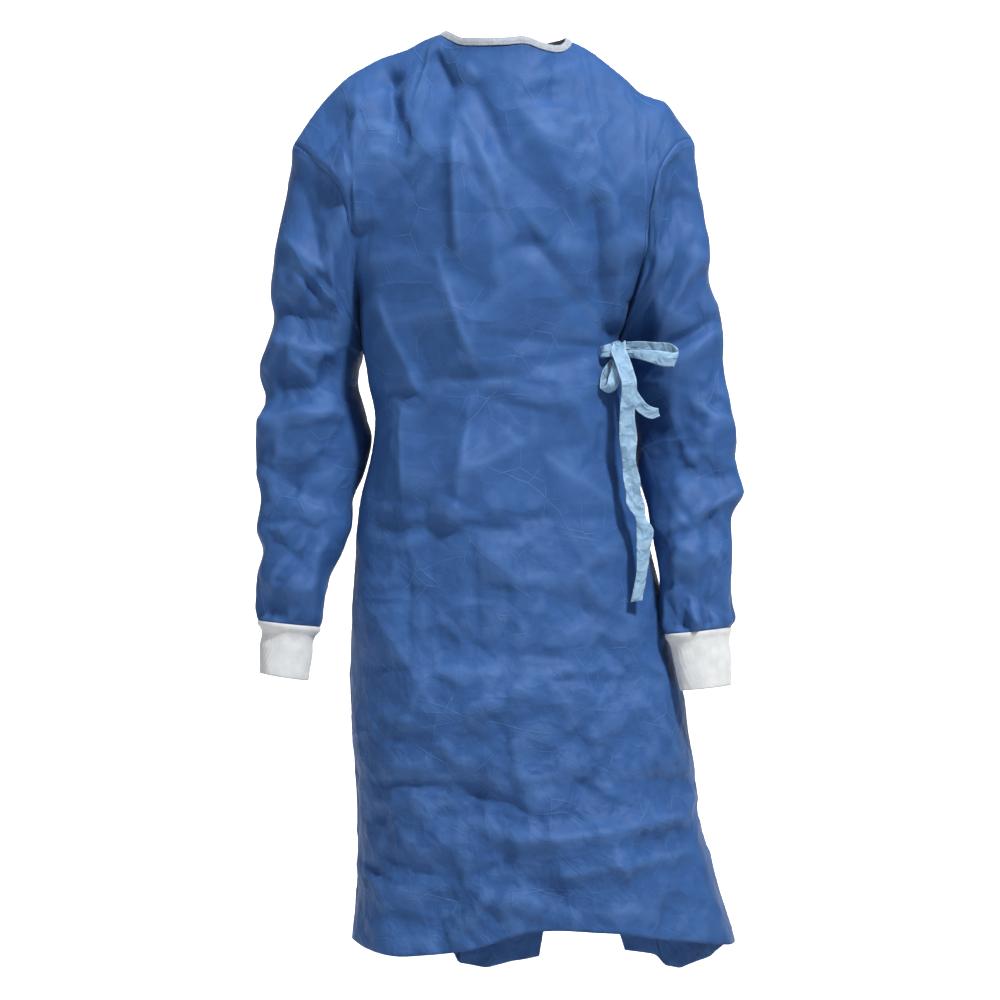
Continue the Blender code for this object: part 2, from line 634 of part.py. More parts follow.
def back_panel(name, side, hem, step_phi):
    """One back panel, from the side seam round to the free edge of its flap."""
    start = SIDE_PHI + SEAM_PHI
    neck = (180 - NECK_SPAN - start) / (flap_reach(side, 0.0) - start)
    columns = np.concatenate([
        np.linspace(0, neck, FLAP_COLUMNS + 1)[:-1],
        np.linspace(neck, 1, FLAP_COLUMNS + 1),
    ])
    step = (step_phi - start) / (flap_reach(side, HEM_DROP) - start)
    nearest = np.argmin(np.abs(columns - step))
    columns[nearest] = step
    columns = np.insert(columns, nearest + 1, step + HEM_STEP_SHARE)

    def phi_at(shares, drop):
        return side * (start + shares * (flap_reach(side, drop) - start))

    points = panel(phi_at, hem, columns)
    if side < 0:
        drops = row_drops()[:, None]
        lift = flap_lift(phi_at(columns[None, :], drops), drops)[:, ::-1]
        points = points[:, ::-1]
        points = points + flat_normals(points) * lift[..., None]
    cloth(name, points, BODY_CLOTH, GOWN_BLUE)


def flat_normals(points):
    """The level part of each outward direction."""
    out = normals_of(points) * [1, 1, 0]
    return out / np.linalg.norm(out, axis=2, keepdims=True)


def ring_points(ring, turns):
    """An oval ring; turn 0 is its outer edge, 90 its front."""
    outer = np.array([ring.outer_x, ring.outer_y, ring.outer_z])
    inner = np.array([ring.inner_x, ring.inner_y, ring.inner_z])
    middle = (outer + inner) / 2
    half = (outer - inner) / 2
    turn = np.radians(turns)[:, None]
    return middle + np.cos(turn) * half + np.sin(turn) * np.array([0, -ring.half_depth, 0])


def sleeve(name, side, rings):
    turns = np.arange(SLEEVE_SIDES) * 360 / SLEEVE_SIDES
    start = armhole_edge(side, turns)
    keys = np.array([start] + [ring_points(ring, turns) for ring in rings])
    heading = keys[1] - start
    heading /= np.linalg.norm(heading, axis=1, keepdims=True)
    under = 0.5 - 0.5 * np.cos(np.radians(turns))
    keys[0] = start + heading * ARMHOLE_LIFT
    keys[0, :, 0] += side * UNDERARM_LIFT * under
    middles = keys.mean(axis=1)
    run = np.concatenate([[0], np.cumsum(np.linalg.norm(np.diff(middles, axis=0), axis=1))])
    places = np.linspace(0, run[-1], SLEEVE_ROWS + 1)
    points = np.stack([smooth(places, run, keys[:, i]) for i in range(SLEEVE_SIDES)], axis=1)
    if side > 0:
        points = points[:, ::-1]
    cloth(name, points, BODY_CLOTH, GOWN_BLUE, closed=True)


def cuff(name, side, rings):
    turns = np.arange(SLEEVE_SIDES) * 360 / SLEEVE_SIDES
    points = np.array([ring_points(ring, turns) for ring in rings])
    points[..., 2] -= SEAM_GAP
    if side > 0:
        points = points[:, ::-1]
    cloth(name, points, KNIT_CLOTH, CUFF_WHITE, closed=True)


def neck_binding():
    """The folded strip along the neck seam, from the end of one flap round to the other."""
    end = float(neck_angle(flap_reach(1, 0.0)))
    angles = np.linspace(-end, end, BINDING_COLUMNS + 1)
    low = neck_edge(angles)
    turn = np.radians(angles)
    out = np.stack([np.sin(turn), -np.cos(turn), np.zeros(len(turn))], axis=-1)
    lift = FLAP_LIFT * ramp(-angles, 100, 360 - end - 12)
    low = low + out * (lift + BINDING_CLOTH / 4)[:, None]
    aside = (np.abs(turn_between(np.abs(angles), 90)) / BINDING_SIDE_SPAN) ** 2
    lean = np.radians(BINDING_LEAN + (BINDING_SIDE_LEAN - BINDING_LEAN) * np.exp(-aside))
    low[:, 2] += BINDING_GAP + BINDING_CLOTH / 2 * np.sin(lean)
    high = low - out * (BINDING_HEIGHT * np.sin(lean))[:, None]
    high[:, 2] += BINDING_HEIGHT * np.cos(lean)
    cloth("neck_binding", np.array([high, low]), BINDING_CLOTH, BINDING_GREY, offset=0.0)


def nape_tape():
    """The closing tape over the edge of the outer flap, just under the neck seam."""
    phi = -np.linspace(TAPE_TO, TAPE_FROM, 9)
    beyond = ramp(-phi, TAPE_STEP, TAPE_TO - 1)
    points = np.array([chest(phi, share) for share in np.linspace(TAPE_TOP, TAPE_BOTTOM, 3)])
    lift = FLAP_LIFT * (1 - beyond) + TAPE_LIFT + TIE_CLOTH
    points = points + flat_normals(points) * lift[None, :, None]
    cloth("nape_tape", points, TIE_CLOTH, TIE_BLUE)


def belt():
    """The stretch of the tie from the outer flap's edge round the side to the knot."""
    phi = np.linspace(BELT_FROM, BELT_TO, BELT_COLUMNS + 1)
    gather = 1 - 0.45 * ramp(-phi, -BELT_TO - 14, -BELT_TO)
    rows = []
    for share in (1, 0, -1):
        drop = BELT_DROP - share * BELT_HALF_WIDTH * gather
        x, y = body_xy(phi, drop)
        turn = np.radians(phi)
        out = BELT_LIFT + (BELT_END_LIFT - BELT_LIFT) * ramp(phi, BELT_FROM - BELT_END_SPAN, BELT_FROM - 4)
        rows.append(np.stack([x + out * np.sin(turn), y - out * np.cos(turn), -drop], axis=-1))
    cloth("belt", np.array(rows), TIE_CLOTH, TIE_BLUE, offset=0.0)


def ribbon(name, stations, rows):
    """A stretch of tie ribbon along its stations, two grid cells wide."""
    line = np.array(stations)
    steps = np.linalg.norm(np.diff(line[:, :3], axis=0), axis=1)
    run = np.concatenate([[0], np.cumsum(steps)])
    at = smooth(np.linspace(0, run[-1], rows + 1), run, line)
    middle = at[:, :3]
    across = at[:, 3:]
    points = np.stack([middle - across, middle, middle + across], axis=1)
    cloth(name, points, TIE_CLOTH, TIE_BLUE, offset=0.0)


def knot():
    ball = bmesh.new()
    bmesh.ops.create_uvsphere(ball, u_segments=12, v_segments=8, radius=1.0)
    for vert in ball.verts:
        vert.co = [KNOT_PLACE[k] + KNOT_RADII[k] * vert.co[k] for k in range(3)]
    mesh = bpy.data.meshes.new("tie_knot")
    ball.to_mesh(mesh)
    ball.free()
    mesh.materials.append(material(TIE_BLUE))
    mesh.shade_smooth()
    bpy.data.collections["surgical_gown"].objects.link(bpy.data.objects.new("tie_knot", mesh))


def main():
    for old in list(bpy.data.objects):
        bpy.data.objects.remove(old, do_unlink=True)
    bpy.context.scene.collection.children.link(bpy.data.collections.new("surgical_gown"))
    front_panel()
    back_panel("back_panel_left", 1, HEM_BACK_LEFT, 145.5)
    back_panel("back_panel_right", -1, HEM_BACK_RIGHT, 154.8)
    sleeve("sleeve_right_arm", -1, SLEEVE_RINGS_RIGHT_ARM)
    sleeve("sleeve_left_arm", 1, SLEEVE_RINGS_LEFT_ARM)
    cuff("cuff_right_arm", -1, CUFF_RINGS_RIGHT_ARM)
    cuff("cuff_left_arm", 1, CUFF_RINGS_LEFT_ARM)
    neck_binding()
    nape_tape()
    belt()
    knot()
    ribbon("tie_root", TIE_ROOT, 8)
    ribbon("tie_loop_side", LOOP_SIDE, RIBBON_ROWS)
    ribbon("tie_loop_lower", LOOP_LOWER, RIBBON_ROWS)
    ribbon("tie_tail_long", TAIL_LONG, LONG_RIBBON_ROWS)
    ribbon("tie_tail_short", TAIL_SHORT, 12)


main()
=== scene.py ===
"""The looks of a disposable surgical gown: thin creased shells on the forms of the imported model.

Metres, +Z up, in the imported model's frame. The front faces -Y and the wearer's left side is
towards +X. The tables are written in millimetres and degrees, and table() turns them to metres.
Each cloth piece is made again from the named sizes of its solid, on a finer grid, and its creases
are worked into the grid. Its stitches and weave come after that.
"""

import math
from collections import namedtuple

import bmesh
import bpy
import numpy as np
from mathutils import Matrix, Vector


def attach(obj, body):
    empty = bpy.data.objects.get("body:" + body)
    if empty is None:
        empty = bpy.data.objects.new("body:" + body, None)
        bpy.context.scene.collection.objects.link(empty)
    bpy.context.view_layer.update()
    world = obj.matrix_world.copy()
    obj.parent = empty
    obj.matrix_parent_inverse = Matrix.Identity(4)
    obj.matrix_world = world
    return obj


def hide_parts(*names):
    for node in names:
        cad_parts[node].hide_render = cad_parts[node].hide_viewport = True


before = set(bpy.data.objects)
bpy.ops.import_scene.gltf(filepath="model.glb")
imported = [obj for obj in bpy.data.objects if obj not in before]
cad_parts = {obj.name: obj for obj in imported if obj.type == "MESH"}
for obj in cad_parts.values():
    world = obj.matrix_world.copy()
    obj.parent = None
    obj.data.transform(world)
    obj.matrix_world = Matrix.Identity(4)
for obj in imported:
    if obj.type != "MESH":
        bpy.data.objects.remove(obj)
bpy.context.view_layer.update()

NOT_LENGTHS = ("phi", "span", "angle", "left_phi", "right_phi", "lean", "count", "turn", "spread")


def table(kind, rows):
    """Rows with named columns, whose lengths are given in millimetres and kept in metres."""
    scale = [1 if name in NOT_LENGTHS else 1000 for name in kind._fields]
    return tuple(kind(*(value / unit for value, unit in zip(row, scale))) for row in rows)


# Thickness of the shells
GOWN_SHELL = 0.0007
KNIT_SHELL = 0.0015
BINDING_SHELL = 0.0018
TIE_SHELL = 0.0006

# Thickness of the solids that the shells dress
BINDING_CLOTH = 0.0020
TIE_CLOTH = 0.0010

# The body, as sections at a drop below the origin: how far it reaches on each side
UNDERARM_DROP = 0.335
HEM_DROP = 1.18
SKIRT_LENGTH = HEM_DROP - UNDERARM_DROP
SQUARENESS = 2.3
NECK_SPAN = 38.0
SIDE_PHI = 90.0
Section = namedtuple("Section", "drop left right front back")
SECTIONS = table(Section, (
    (0, -200, 190, 85, 85),
    (150, -207, 196, 118, 116),
    (250, -198, 186, 130, 124),
    (335, -189, 169, 131, 120),
    (365, -187, 160, 128, 115),
    (400, -184, 150, 125, 112),
    (425, -180, 155, 124, 110),
    (450, -176, 160, 122, 108),
    (485, -168, 165, 123, 110),
    (535, -172, 171, 126, 116),
    (600, -188, 180, 131, 124),
    (680, -195, 197, 138, 136),
    (740, -198, 213, 142, 143),
    (800, -201, 223.5, 146, 149),
    (850, -201, 235, 149, 154),
    (900, -199, 243, 152, 159),
    (960, -195, 252, 156, 164),
    (1010, -192, 256, 158, 167),
    (1050, -192, 267, 161, 170),
    (1090, -192, 278, 163, 174),
    (1180, -199, 305, 168, 181),
    (1250, -203, 320, 172, 186),
))

# Soft vertical flutes of the skirt: where they stand round the body, and how they grow with the drop
Flute = namedtuple("Flute", "phi span out start full")
FLUTES = table(Flute, (
    (-48, 15, 6, 620, 1150),
    (-16, 12, -6, 800, 1180),
    (14, 13, 7, 850, 1180),
    (44, 12, -8, 700, 1150),
    (66, 9, 6, 800, 1180),
    (118, 13, -11, 600, 1150),
    (146, 11, 8, 550, 1150),
    (-115, 13, -9, 600, 1150),
    (-142, 11, 9, 500, 1100),
    (-170, 12, -8, 550, 1150),
))

# The neck seam: its half width and its reach to the front and back, and its height round the neck
NECK_MIDDLE = 0.003
NECK_HALF_WIDTH = 0.0875
NECK_FRONT = 0.086
NECK_BACK = 0.076
NeckHeight = namedtuple("NeckHeight", "angle z")
NECK_HEIGHTS = table(NeckHeight, (
    (-270, 4.4),
    (-240, 2),
    (-180, -4),
    (-130, 5),
    (-90, 13.5),
    (-78, 11.5),
    (-55, 1.2),
    (-43, -5.5),
    (-25, -8.5),
    (0, -8.6),
    (18, -6.8),
    (32, -12.6),
    (45, -15.2),
    (57, -13.6),
    (73, -5.4),
    (90, 4.4),
    (120, 2),
    (180, -4),
    (230, 5),
    (270, 13.5),
))
BINDING_HEIGHT = 0.0100
BINDING_LEAN = 10.0
BINDING_SIDE_LEAN = 62.0
BINDING_SIDE_SPAN = 34.0

# The shoulder seams, from the neck to the armhole; the armholes follow, from the top round the front
Point = namedtuple("Point", "x y z")
SHOULDER_LEFT = table(Point, (
    (-84.5, 0, 13.5),
    (-103.8, 2, 5.5),
    (-123, 3, -4.5),
    (-142.3, 4, -11),
    (-161.5, 4, -17.5),
    (-180.8, 4, -27.5),
    (-200, 3, -39),
    (-219.3, 2, -56),
    (-238.5, 1, -76.5),
    (-257.8, 0, -102.5),
    (-277, 0, -133),
))
SHOULDER_RIGHT = table(Point, (
    (90.5, 0, 4.4),
    (108, 2, -4.5),
    (126, 3, -17),
    (144, 3, -31),
    (162, 3, -45.5),
    (179.5, 2, -62),
    (197, 1, -69.5),
    (215, 0, -76.5),
    (233, 0, -102),
    (250.5, 0, -126),
))
ARMHOLE_LEFT = table(Point, (
    (-277, 0, -133),
    (-246, -58, -158),
    (-209, -80, -205),
    (-196, -56, -292),
    (-189, 0, -335),
    (-198, 56, -290),
    (-212, 83, -205),
    (-246, 60, -156),
))
ARMHOLE_RIGHT = table(Point, (
    (250.5, 0, -126),
    (226, -55, -137),
    (198, -77, -187),
    (184, -55, -285),
    (173, 0, -335),
    (187, 55, -285),
    (200, 80, -192),
    (224, 58, -139),
))
ARMHOLE_EASE = 52.0
SHOULDER_ARCH = 0.62
NECK_ARCH = 0.25

# The hem: its height under each x, on the front and on the two back flaps
HemPoint = namedtuple("HemPoint", "x z")
HEM_FRONT = table(HemPoint, (
    (-200, -1174),
    (-180, -1184),
    (-140, -1190),
    (-100, -1186),
    (-50, -1180),
    (-10, -1169),
    (30, -1154),
    (80, -1151),
    (150, -1156),
    (200, -1166),
    (260, -1175),
    (307, -1181),
))
HEM_BACK_LEFT = table(HemPoint, (
    (155, -1213),
    (195, -1218),
    (203, -1221),
    (208, -1233),
    (230, -1235),
    (275, -1210),
    (306, -1181),
))
HEM_BACK_RIGHT = table(HemPoint, (
    (-200, -1174),
    (-150, -1196),
    (-80, -1206),
    (-69, -1209),
    (-63, -1231),
    (-24, -1238),
    (10, -1229),
    (50, -1221),
))

# How far round the body each back flap reaches, by drop; the right flap lies over the left one
FlapEdge = namedtuple("FlapEdge", "drop left_phi right_phi")
FLAP_EDGES = table(FlapEdge, (
    (0, 190, 190),
    (200, 200, 206),
    (400, 209, 229),
    (550, 197, 218),
    (800, 177, 199.5),
    (1000, 166.6, 186.6),
    (1100, 161.6, 181.8),
    (1200, 157.3, 178.5),
))
HEM_STEP_SHARE = 0.015
FLAP_LIFT = 0.0045
LIFT_RUN = 30.0
LIFT_LEAD = 4.0

# The largest folds of the front, as soft ridges (positive height) and troughs
Fold = namedtuple("Fold", "x0 z0 x1 z1 height width")
FRONT_FOLDS = table(Fold, (
    (-146, -45, -146, -110, -10, 12),
    (-130, -125, -172, -190, -6, 12),
    (-36, -65, -5, -150, -6, 11),
    (-48, -150, 10, -268, -5, 13),
    (-64, -110, -58, -262, 5, 12),
    (40, -120, 120, -250, 6, 20),
    (36, -270, 138, -385, -8, 14),
    (117, -215, 141, -380, -7, 11),
    (-170, -462, 100, -425, -5, 12),
    (-100, -490, -100, -600, -5, 20),
    (-42, -480, -64, -625, 6, 15),
    (-160, -640, 10, -638, -4, 12),
    (-160, -962, 225, -958, -4, 12),
    (20, -1040, 230, -1012, 6, 14),
    (60, -1082, 230, -1062, 6, 14),
    (-20, -1108, 85, -1142, 8, 16),
))
FOLD_SEAM_FADE = 16.0

# Sleeves: for each ring the outer and inner edge, their places in depth, and half of its depth
Ring = namedtuple("Ring", "outer_x outer_z inner_x inner_z outer_y inner_y half_depth")
SLEEVE_RINGS_RIGHT_ARM = table(Ring, (
    (-287, -205, -189, -368, 0, 10, 78),
    (-300, -285, -185, -392, -3, 28, 75),
    (-307, -325, -187, -412, -5, 36, 73),
    (-303, -362, -190, -432, -6, 38, 71),
    (-321.5, -426, -190, -456, -6, 38, 69),
    (-314, -465, -182.5, -487, -6, 36, 66),
    (-325, -515, -175, -518, -8, 32, 67),
    (-323.5, -560, -184, -562, -12, 20, 66),
    (-318, -598, -197, -600, -14, 6, 62),
    (-323.5, -640, -202, -645, -16, -10, 59),
    (-315, -667, -214.5, -675, -18, -18, 52),
    (-323, -698, -228, -703, -21, -21, 49),
    (-324.5, -732, -234.5, -740, -24, -24, 43),
    (-321.5, -757.5, -240, -766, -26, -26, 37),
))
SLEEVE_RINGS_LEFT_ARM = table(Ring, (
    (259, -192, 156, -368, 0, 18, 77),
    (268, -262, 149.5, -392, 0, 51, 74),
    (272.5, -322, 152, -415, 0, 70, 72),
    (288, -362, 150, -438, -2, 72, 71),
    (289.5, -412, 156, -462, -6, 68, 69),
    (297.5, -470, 166.5, -500, -14, 62, 68),
    (305.5, -510, 174, -532, -20, 44, 66),
    (302.5, -542, 178, -562, -26, 28, 64),
    (314, -588, 189, -602, -32, 0, 61),
    (302, -622, 193.5, -630, -37, -22, 56),
    (300, -670, 200, -674, -44, -45, 51),
    (296.5, -718, 207, -724, -50, -62, 45),
    (297.5, -765.5, 211, -774, -55, -74, 38),
))
CUFF_RINGS_RIGHT_ARM = table(Ring, (
    (-321.5, -757.7, -240, -766.2, -26, -26, 37),
    (-321, -764, -241, -773, -26, -26, 36.5),
    (-317.8, -769, -245, -778, -26, -26, 34),
    (-319, -792, -250, -802, -27, -27, 32),
    (-320, -827, -255.5, -837, -28, -28, 31),
))
CUFF_RINGS_LEFT_ARM = table(Ring, (
    (297.5, -765.7, 211, -774.2, -55, -74, 38),
    (297.2, -772, 213, -780.5, -55, -74, 37.5),
    (296.5, -777, 216, -786, -55, -74, 36),
    (297.5, -803, 222, -812, -56, -75, 34),
    (298.2, -841.5, 229.8, -848, -57, -76, 32),
))

# The tie: the knot, and its ribbons as a centre line with half the ribbon's width as a vector
KNOT_PLACE = (0.1490, -0.0650, -0.4050)
KNOT_RADII = (0.0095, 0.0085, 0.0115)
BELT_DROP = 0.402
BELT_HALF_WIDTH = 0.0105
BELT_FROM = 133.0
BELT_TO = 63.0
BELT_LIFT = 0.0031
BELT_END_LIFT = 0.0072
BELT_END_SPAN = 12.0
Station = namedtuple("Station", "x y z across_x across_y across_z")
TIE_ROOT = table(Station, (
    (127, -74.7, -407, -0.9, 0.7, 7),
    (130, -83, -406.5, 1, 1, 9.5),
    (134.5, -84.5, -406, 1, 1, 10.8),
    (138.5, -80.5, -405.5, 1, 1, 10),
    (141.2, -71.1, -405, 0, 1, 7.5),
))
LOOP_SIDE = table(Station, (
    (158.5, -64, -398.5, 0, 1, 4.5),
    (174, -66, -399.5, 0, -1, 6.5),
    (198, -69, -404.5, 1, -2, 10),
    (217, -73, -408.5, 2, -2, 12),
    (226.2, -80, -417, 3, 0, 13),
    (219, -87, -417.5, 1, 1, 11.5),
    (200, -87, -415, -1, 1, 9.5),
    (178, -81.5, -411, 0, 0, 6),
    (160, -74, -409.5, 0, -1, 4),
))
LOOP_LOWER = table(Station, (
    (144, -69, -416.8, 4, 2, 0),
    (134.5, -80, -431, 4.5, 5, 0),
    (130, -87, -446, 4.5, 6, -1),
    (131.5, -93, -459, 6, 5, -3),
    (139, -97, -454.5, 7, 3, -5),
    (145, -95, -440, 7.5, -1, -2),
    (146.5, -88, -428, 5.5, -1, 0),
    (146.5, -79, -419.5, 4, 1, 0),
))
TAIL_LONG = table(Station, (
    (151.5, -70.8, -394.5, 8, 1, 2),
    (150, -80, -404, 9.8, 0, 1),
    (154.5, -94, -418, 9.8, 0, 1.5),
    (159.5, -104, -435, 9.8, 0, 1.5),
    (163, -108, -448, 9.8, 1, 1),
    (162, -109, -470, 9.7, -1, 0),
    (160.5, -108.5, -490, 9.8, 1, 0),
    (162, -108, -520, 11.5, 1, 0),
    (163, -107.5, -550, 8.8, -2, 0),
    (166.5, -107, -573, 11.2, 1, 0),
    (170.5, -107, -600, 13.2, 1, 1),
    (178.5, -107.5, -624, 7, 4, 0),
    (183.5, -108, -638, 10.8, -2, 0),
    (182, -108.5, -660, 9.2, 1, 0),
    (179.5, -109, -692, 7, 2, 0),
    (172.5, -109.5, -731, 7.6, 1, 1),
))
TAIL_SHORT = table(Station, (
    (153.6, -68.1, -414.6, 4.5, 1, 2),
    (161.5, -80, -432, 6.5, 1, 2),
    (166.5, -86, -452, 7.5, 0, 2),
    (173, -89, -470, 6.5, 0, 4.5),
    (183, -90, -482, 4, 0, 6.6),
    (194, -89, -487, 1, 0, 7.4),
    (202.5, -87, -486, -1, 0, 5),
))

# The closing tape at the nape, across the edge of the outer flap
TAPE_FROM = 183.0
TAPE_TO = 199.0
TAPE_STEP = 193.0
TAPE_TOP = 0.030
TAPE_BOTTOM = 0.105
TAPE_LIFT = 0.0006

# How finely the shells are divided
FRONT_NECK_COLUMNS = 84
FRONT_SIDE_COLUMNS = 52
FLAP_NECK_COLUMNS = 52
FLAP_SIDE_COLUMNS = 60
CHEST_ROWS = 66
SKIRT_ROWS = 182
SLEEVE_SIDES = 112
SLEEVE_ROWS = 168
CUFF_SIDES = 420
CUFF_ROWS = 34

# Creases worked into the shells, seen from the front; lean makes one flank steeper than the other
Crease = namedtuple("Crease", "x0 z0 x1 z1 height width lean")
FRONT_CREASES = table(Crease, (
    (-152, -29, -151, -106, -7, 9, 0.4),
    (-158, -48, -157, -120, 4, 12, -0.2),
    (-151, -62, -125, -132, -5, 8, 0.3),
    (-125, -132, -130, -160, -4, 8, 0),
    (-194, -60, -196, -192, 4, 10, -0.3),
    (-196, -192, -189, -245, 4, 9, -0.3),
    (-196, -92, -240, -158, -5, 8, 0.2),
    (-94, -163, -173, -223, -3, 7, 0.3),
    (-88, -13, -67, -66, -7, 8, 0.4),
    (-44, -34, -6, -139, 5, 12, 0.3),
    (-36, -60, 2, -147, -5, 9, -0.3),
    (-59, -90, -10, -192, 4, 9, 0.2),
    (-10, -192, 13, -269, 5, 10, 0.3),
    (-67, -143, -59, -280, 5, 9, -0.3),
    (-189, -292, -48, -280, 2, 8, 0),
    (13, -269, 72, -271, -3, 6, 0.2),
    (-158, -337, -112, -451, 5, 10, 0.4),
    (-85, -284, -36, -431, 5, 9, 0.4),
    (39, -276, 142, -386, 6, 16, 0.3),
    (123, -223, 143, -380, -7, 10, 0.2),
    (153, -262, 147, -375, 4, 9, 0),
    (62, -57, 66, -88, -3, 6, 0),
    (61, -22, 64, -60, -1.5, 4, 0),
    (78, -114, 138, -94, 2, 6, 0),
    (86, -147, 115, -126, -2, 5, 0),
    (102, -152, 124, -131, 2, 5, 0),
    (47, -94, 127, -192, 4, 20, 0.3),
    (127, -192, 182, -276, 4, 16, 0.3),
    (110, -130, 170, -250, -3, 12, 0),
    (187, -106, 184, -290, 3, 6, 0.2),
    (-30, -388, 127, -402, -3, 6, 0.2),
    (5, -422, 124, -411, -3, 6, 0.2),
    (13, -448, 103, -455, -3, 6, 0),
    (-14, -469, 66, -492, -3, 6, 0.2),
    (-154, -451, -112, -450, 3, 8, 0.2),
    (-112, -451, 13, -451, 3, 8, 0.3),
    (-116, -458, -128, -474, -4, 6, 0),
    (-126, -470, -130, -596, 4, 8, -0.4),
    (-44, -471, -57, -608, 5, 14, -0.4),
    (-57, -608, -68, -632, 4, 12, -0.2),
    (-1, -508, 21, -533, 3, 7, 0),
    (130, -500, 127, -541, -3, 4, 0),
    (-170, -630, -99, -606, -3, 8, 0.2),
    (-177, -632, 12, -632, -3.5, 9, 0.4),
    (-130, -660, -121, -810, -3, 7, 0.3),
    (-40, -634, -33, -788, -3, 8, 0.3),
    (32, -630, 21, -699, -2, 7, 0),
    (-18, -712, 45, -720, -3, 7, 0.2),
    (45, -720, 158, -761, -3, 7, 0.3),
    (57, -725, 93, -762, -3, 6, 0),
    (-186, -817, -121, -819, -3, 7, 0.2),
    (8, -831, 191, -833, -3, 7, 0.3),
    (21, -797, 127, -810, -3, 7, 0.3),
    (127, -784, 170, -827, -4, 7, 0),
    (8, -841, 124, -810, 3, 7, 0.2),
    (-99, -810, -61, -784, -2, 7, 0),
    (-101, -822, 3, -820, 3, 8, 0.2),
    (-102, -825, -134, -904, 4, 9, -0.4),
    (-137, -913, -140, -960, 2, 8, 0),
    (5, -700, 6, -830, -2, 6, 0.2),
    (5, -822, 10, -960, -3, 6, 0.2),
    (9, -888, 52, -876, -2, 6, 0),
    (-39, -859, -54, -951, 3, 12, -0.3),
    (-10, -872, 12, -907, -3, 7, 0.2),
    (152, -854, 34, -951, -3, 7, 0.2),
    (101, -900, 102, -951, -2, 6, 0),
    (162, -872, 182, -957, -3, 6, 0),
    (-171, -960, 9, -961, 4, 8, -0.4),
    (9, -961, 90, -959, 4, 8, -0.4),
    (90, -959, 238, -953, 3, 8, -0.4),
    (-138, -963, -54, -982, -3, 7, 0.2),
    (-54, -975, 9, -986, -5, 8, 0.3),
    (9, -986, 58, -1017, -5, 8, 0.3),
    (102, -964, 159, -997, -4, 7, 0.2),
    (177, -1004, 221, -982, 3, 7, 0),
    (221, -982, 249, -991, 3, 7, 0),
    (18, -1035, 159, -1028, 5, 9, 0.4),
    (159, -1028, 234, -1013, 5, 9, 0.4),
    (74, -1080, 146, -1076, 5, 9, 0.4),
    (146, -1076, 234, -1057, 5, 9, 0.4),
    (-160, -1063, -105, -1079, -4, 8, 0.2),
    (-105, -1079, -54, -1088, -4, 8, 0.2),
    (-98, -1076, -136, -1098, -3, 7, 0),
    (-41, -1061, 9, -1044, -4, 8, 0.2),
    (-45, -1088, 5, -1057, -4, 8, 0.2),
    (-17, -1107, -54, -1147, 7, 12, -0.3),
    (-54, -1147, -76, -1156, 4, 10, 0),
    (0, -1107, 102, -1129, 6, 12, 0.4),
    (102, -1129, 205, -1138, 5, 12, 0.4),
    (-149, -1142, -76, -1154, -4, 9, 0),
    (-76, -1154, -48, -1105, -4, 9, 0),
    (-164, -1017, -151, -1001, -4, 4, 0),
    (-175, -1085, -168, -1078, -4, 5, 0),
))
BACK_CREASES = table(Crease, (
    (-170, -290, 20, -276, 3, 9, 0.2),
    (-150, -455, 100, -442, -3, 8, 0.2),
    (-180, -632, 60, -642, -3, 8, 0.3),
    (-185, -824, 10, -815, -3, 8, -0.2),
    (-190, -958, 0, -964, 4, 8, 0.4),
    (80, -642, 180, -634, -3, 8, 0.2),
    (70, -822, 210, -831, -3, 8, 0.3),
    (100, -961, 260, -955, 4, 8, 0.4),
    (-110, -130, -105, -600, 3, 8, 0.3),
    (-122, -640, -116, -1120, 3, 8, -0.3),
    (-30, -650, -36, -1040, -3, 8, 0.2),
    (150, -500, 168, -1060, 3, 8, 0.2),
    (-150, -100, -55, -330, -6, 15, 0.2),
    (-190, -170, -100, -400, -5, 13, 0.2),
    (140, -95, 75, -300, -5, 13, -0.2),
    (60, -60, 20, -200, 4, 12, 0.2),
    (116, -395, -60, -325, 5, 11, 0.3),
    (116, -402, -100, -418, -4, 8, 0),
    (116, -409, -20, -530, 4, 10, 0.3),
    (-160, -700, -50, -770, -3, 8, 0.2),
    (-80, -860, -170, -940, 3, 8, 0.2),
    (-50, -1000, -170, -1060, -4, 9, 0.3),
    (-180, -1100, -90, -1140, 4, 10, 0.2),
    (-60, -1120, -10, -1180, -4, 9, 0),
    (130, -1020, 240, -1060, -4, 9, 0.3),
    (160, -1120, 250, -1100, 4, 10, 0.2),
    (110, -720, 200, -780, -3, 8, 0.2),
    (190, -870, 120, -930, 3, 8, 0.2),
))
SLEEVE_CREASES_RIGHT_ARM = table(Crease, (
    (-233, -140, -206, -190, -4, 9, 0.2),
    (-213, -205, -249, -246, -3, 10, 0.2),
    (-286, -257, -237, -306, 5, 12, 0.4),
    (-237, -306, -256, -322, -4, 8, 0),
    (-256, -322, -217, -356, -4, 10, 0.2),
    (-300, -342, -263, -359, -4.5, 8, 0.3),
    (-263, -359, -217, -368, -4.5, 8, 0.3),
    (-300, -394, -229, -406, 6, 13, 0.4),
    (-229, -406, -191, -376, 5, 13, 0.2),
    (-314, -433, -263, -475, -6, 12, 0.3),
    (-263, -475, -229, -441, -6, 10, 0),
    (-229, -441, -195, -400, -5, 12, 0),
    (-319, -497, -217, -482, 8, 14, 0.4),
    (-217, -482, -178, -499, 6, 13, 0.2),
    (-315, -516, -205, -503, -4, 12, 0.2),
    (-286, -505, -302, -575, 4, 10, 0.3),
    (-318, -632, -266, -628, -4, 7, 0.3),
    (-266, -628, -239, -639, -4, 7, 0.3),
    (-239, -648, -292, -704, -6, 9, -0.4),
    (-292, -704, -309, -750, -5, 8, -0.4),
    (-225, -650, -278, -714, 4, 10, 0),
    (-213, -420, -202, -560, -4, 14, 0),
))
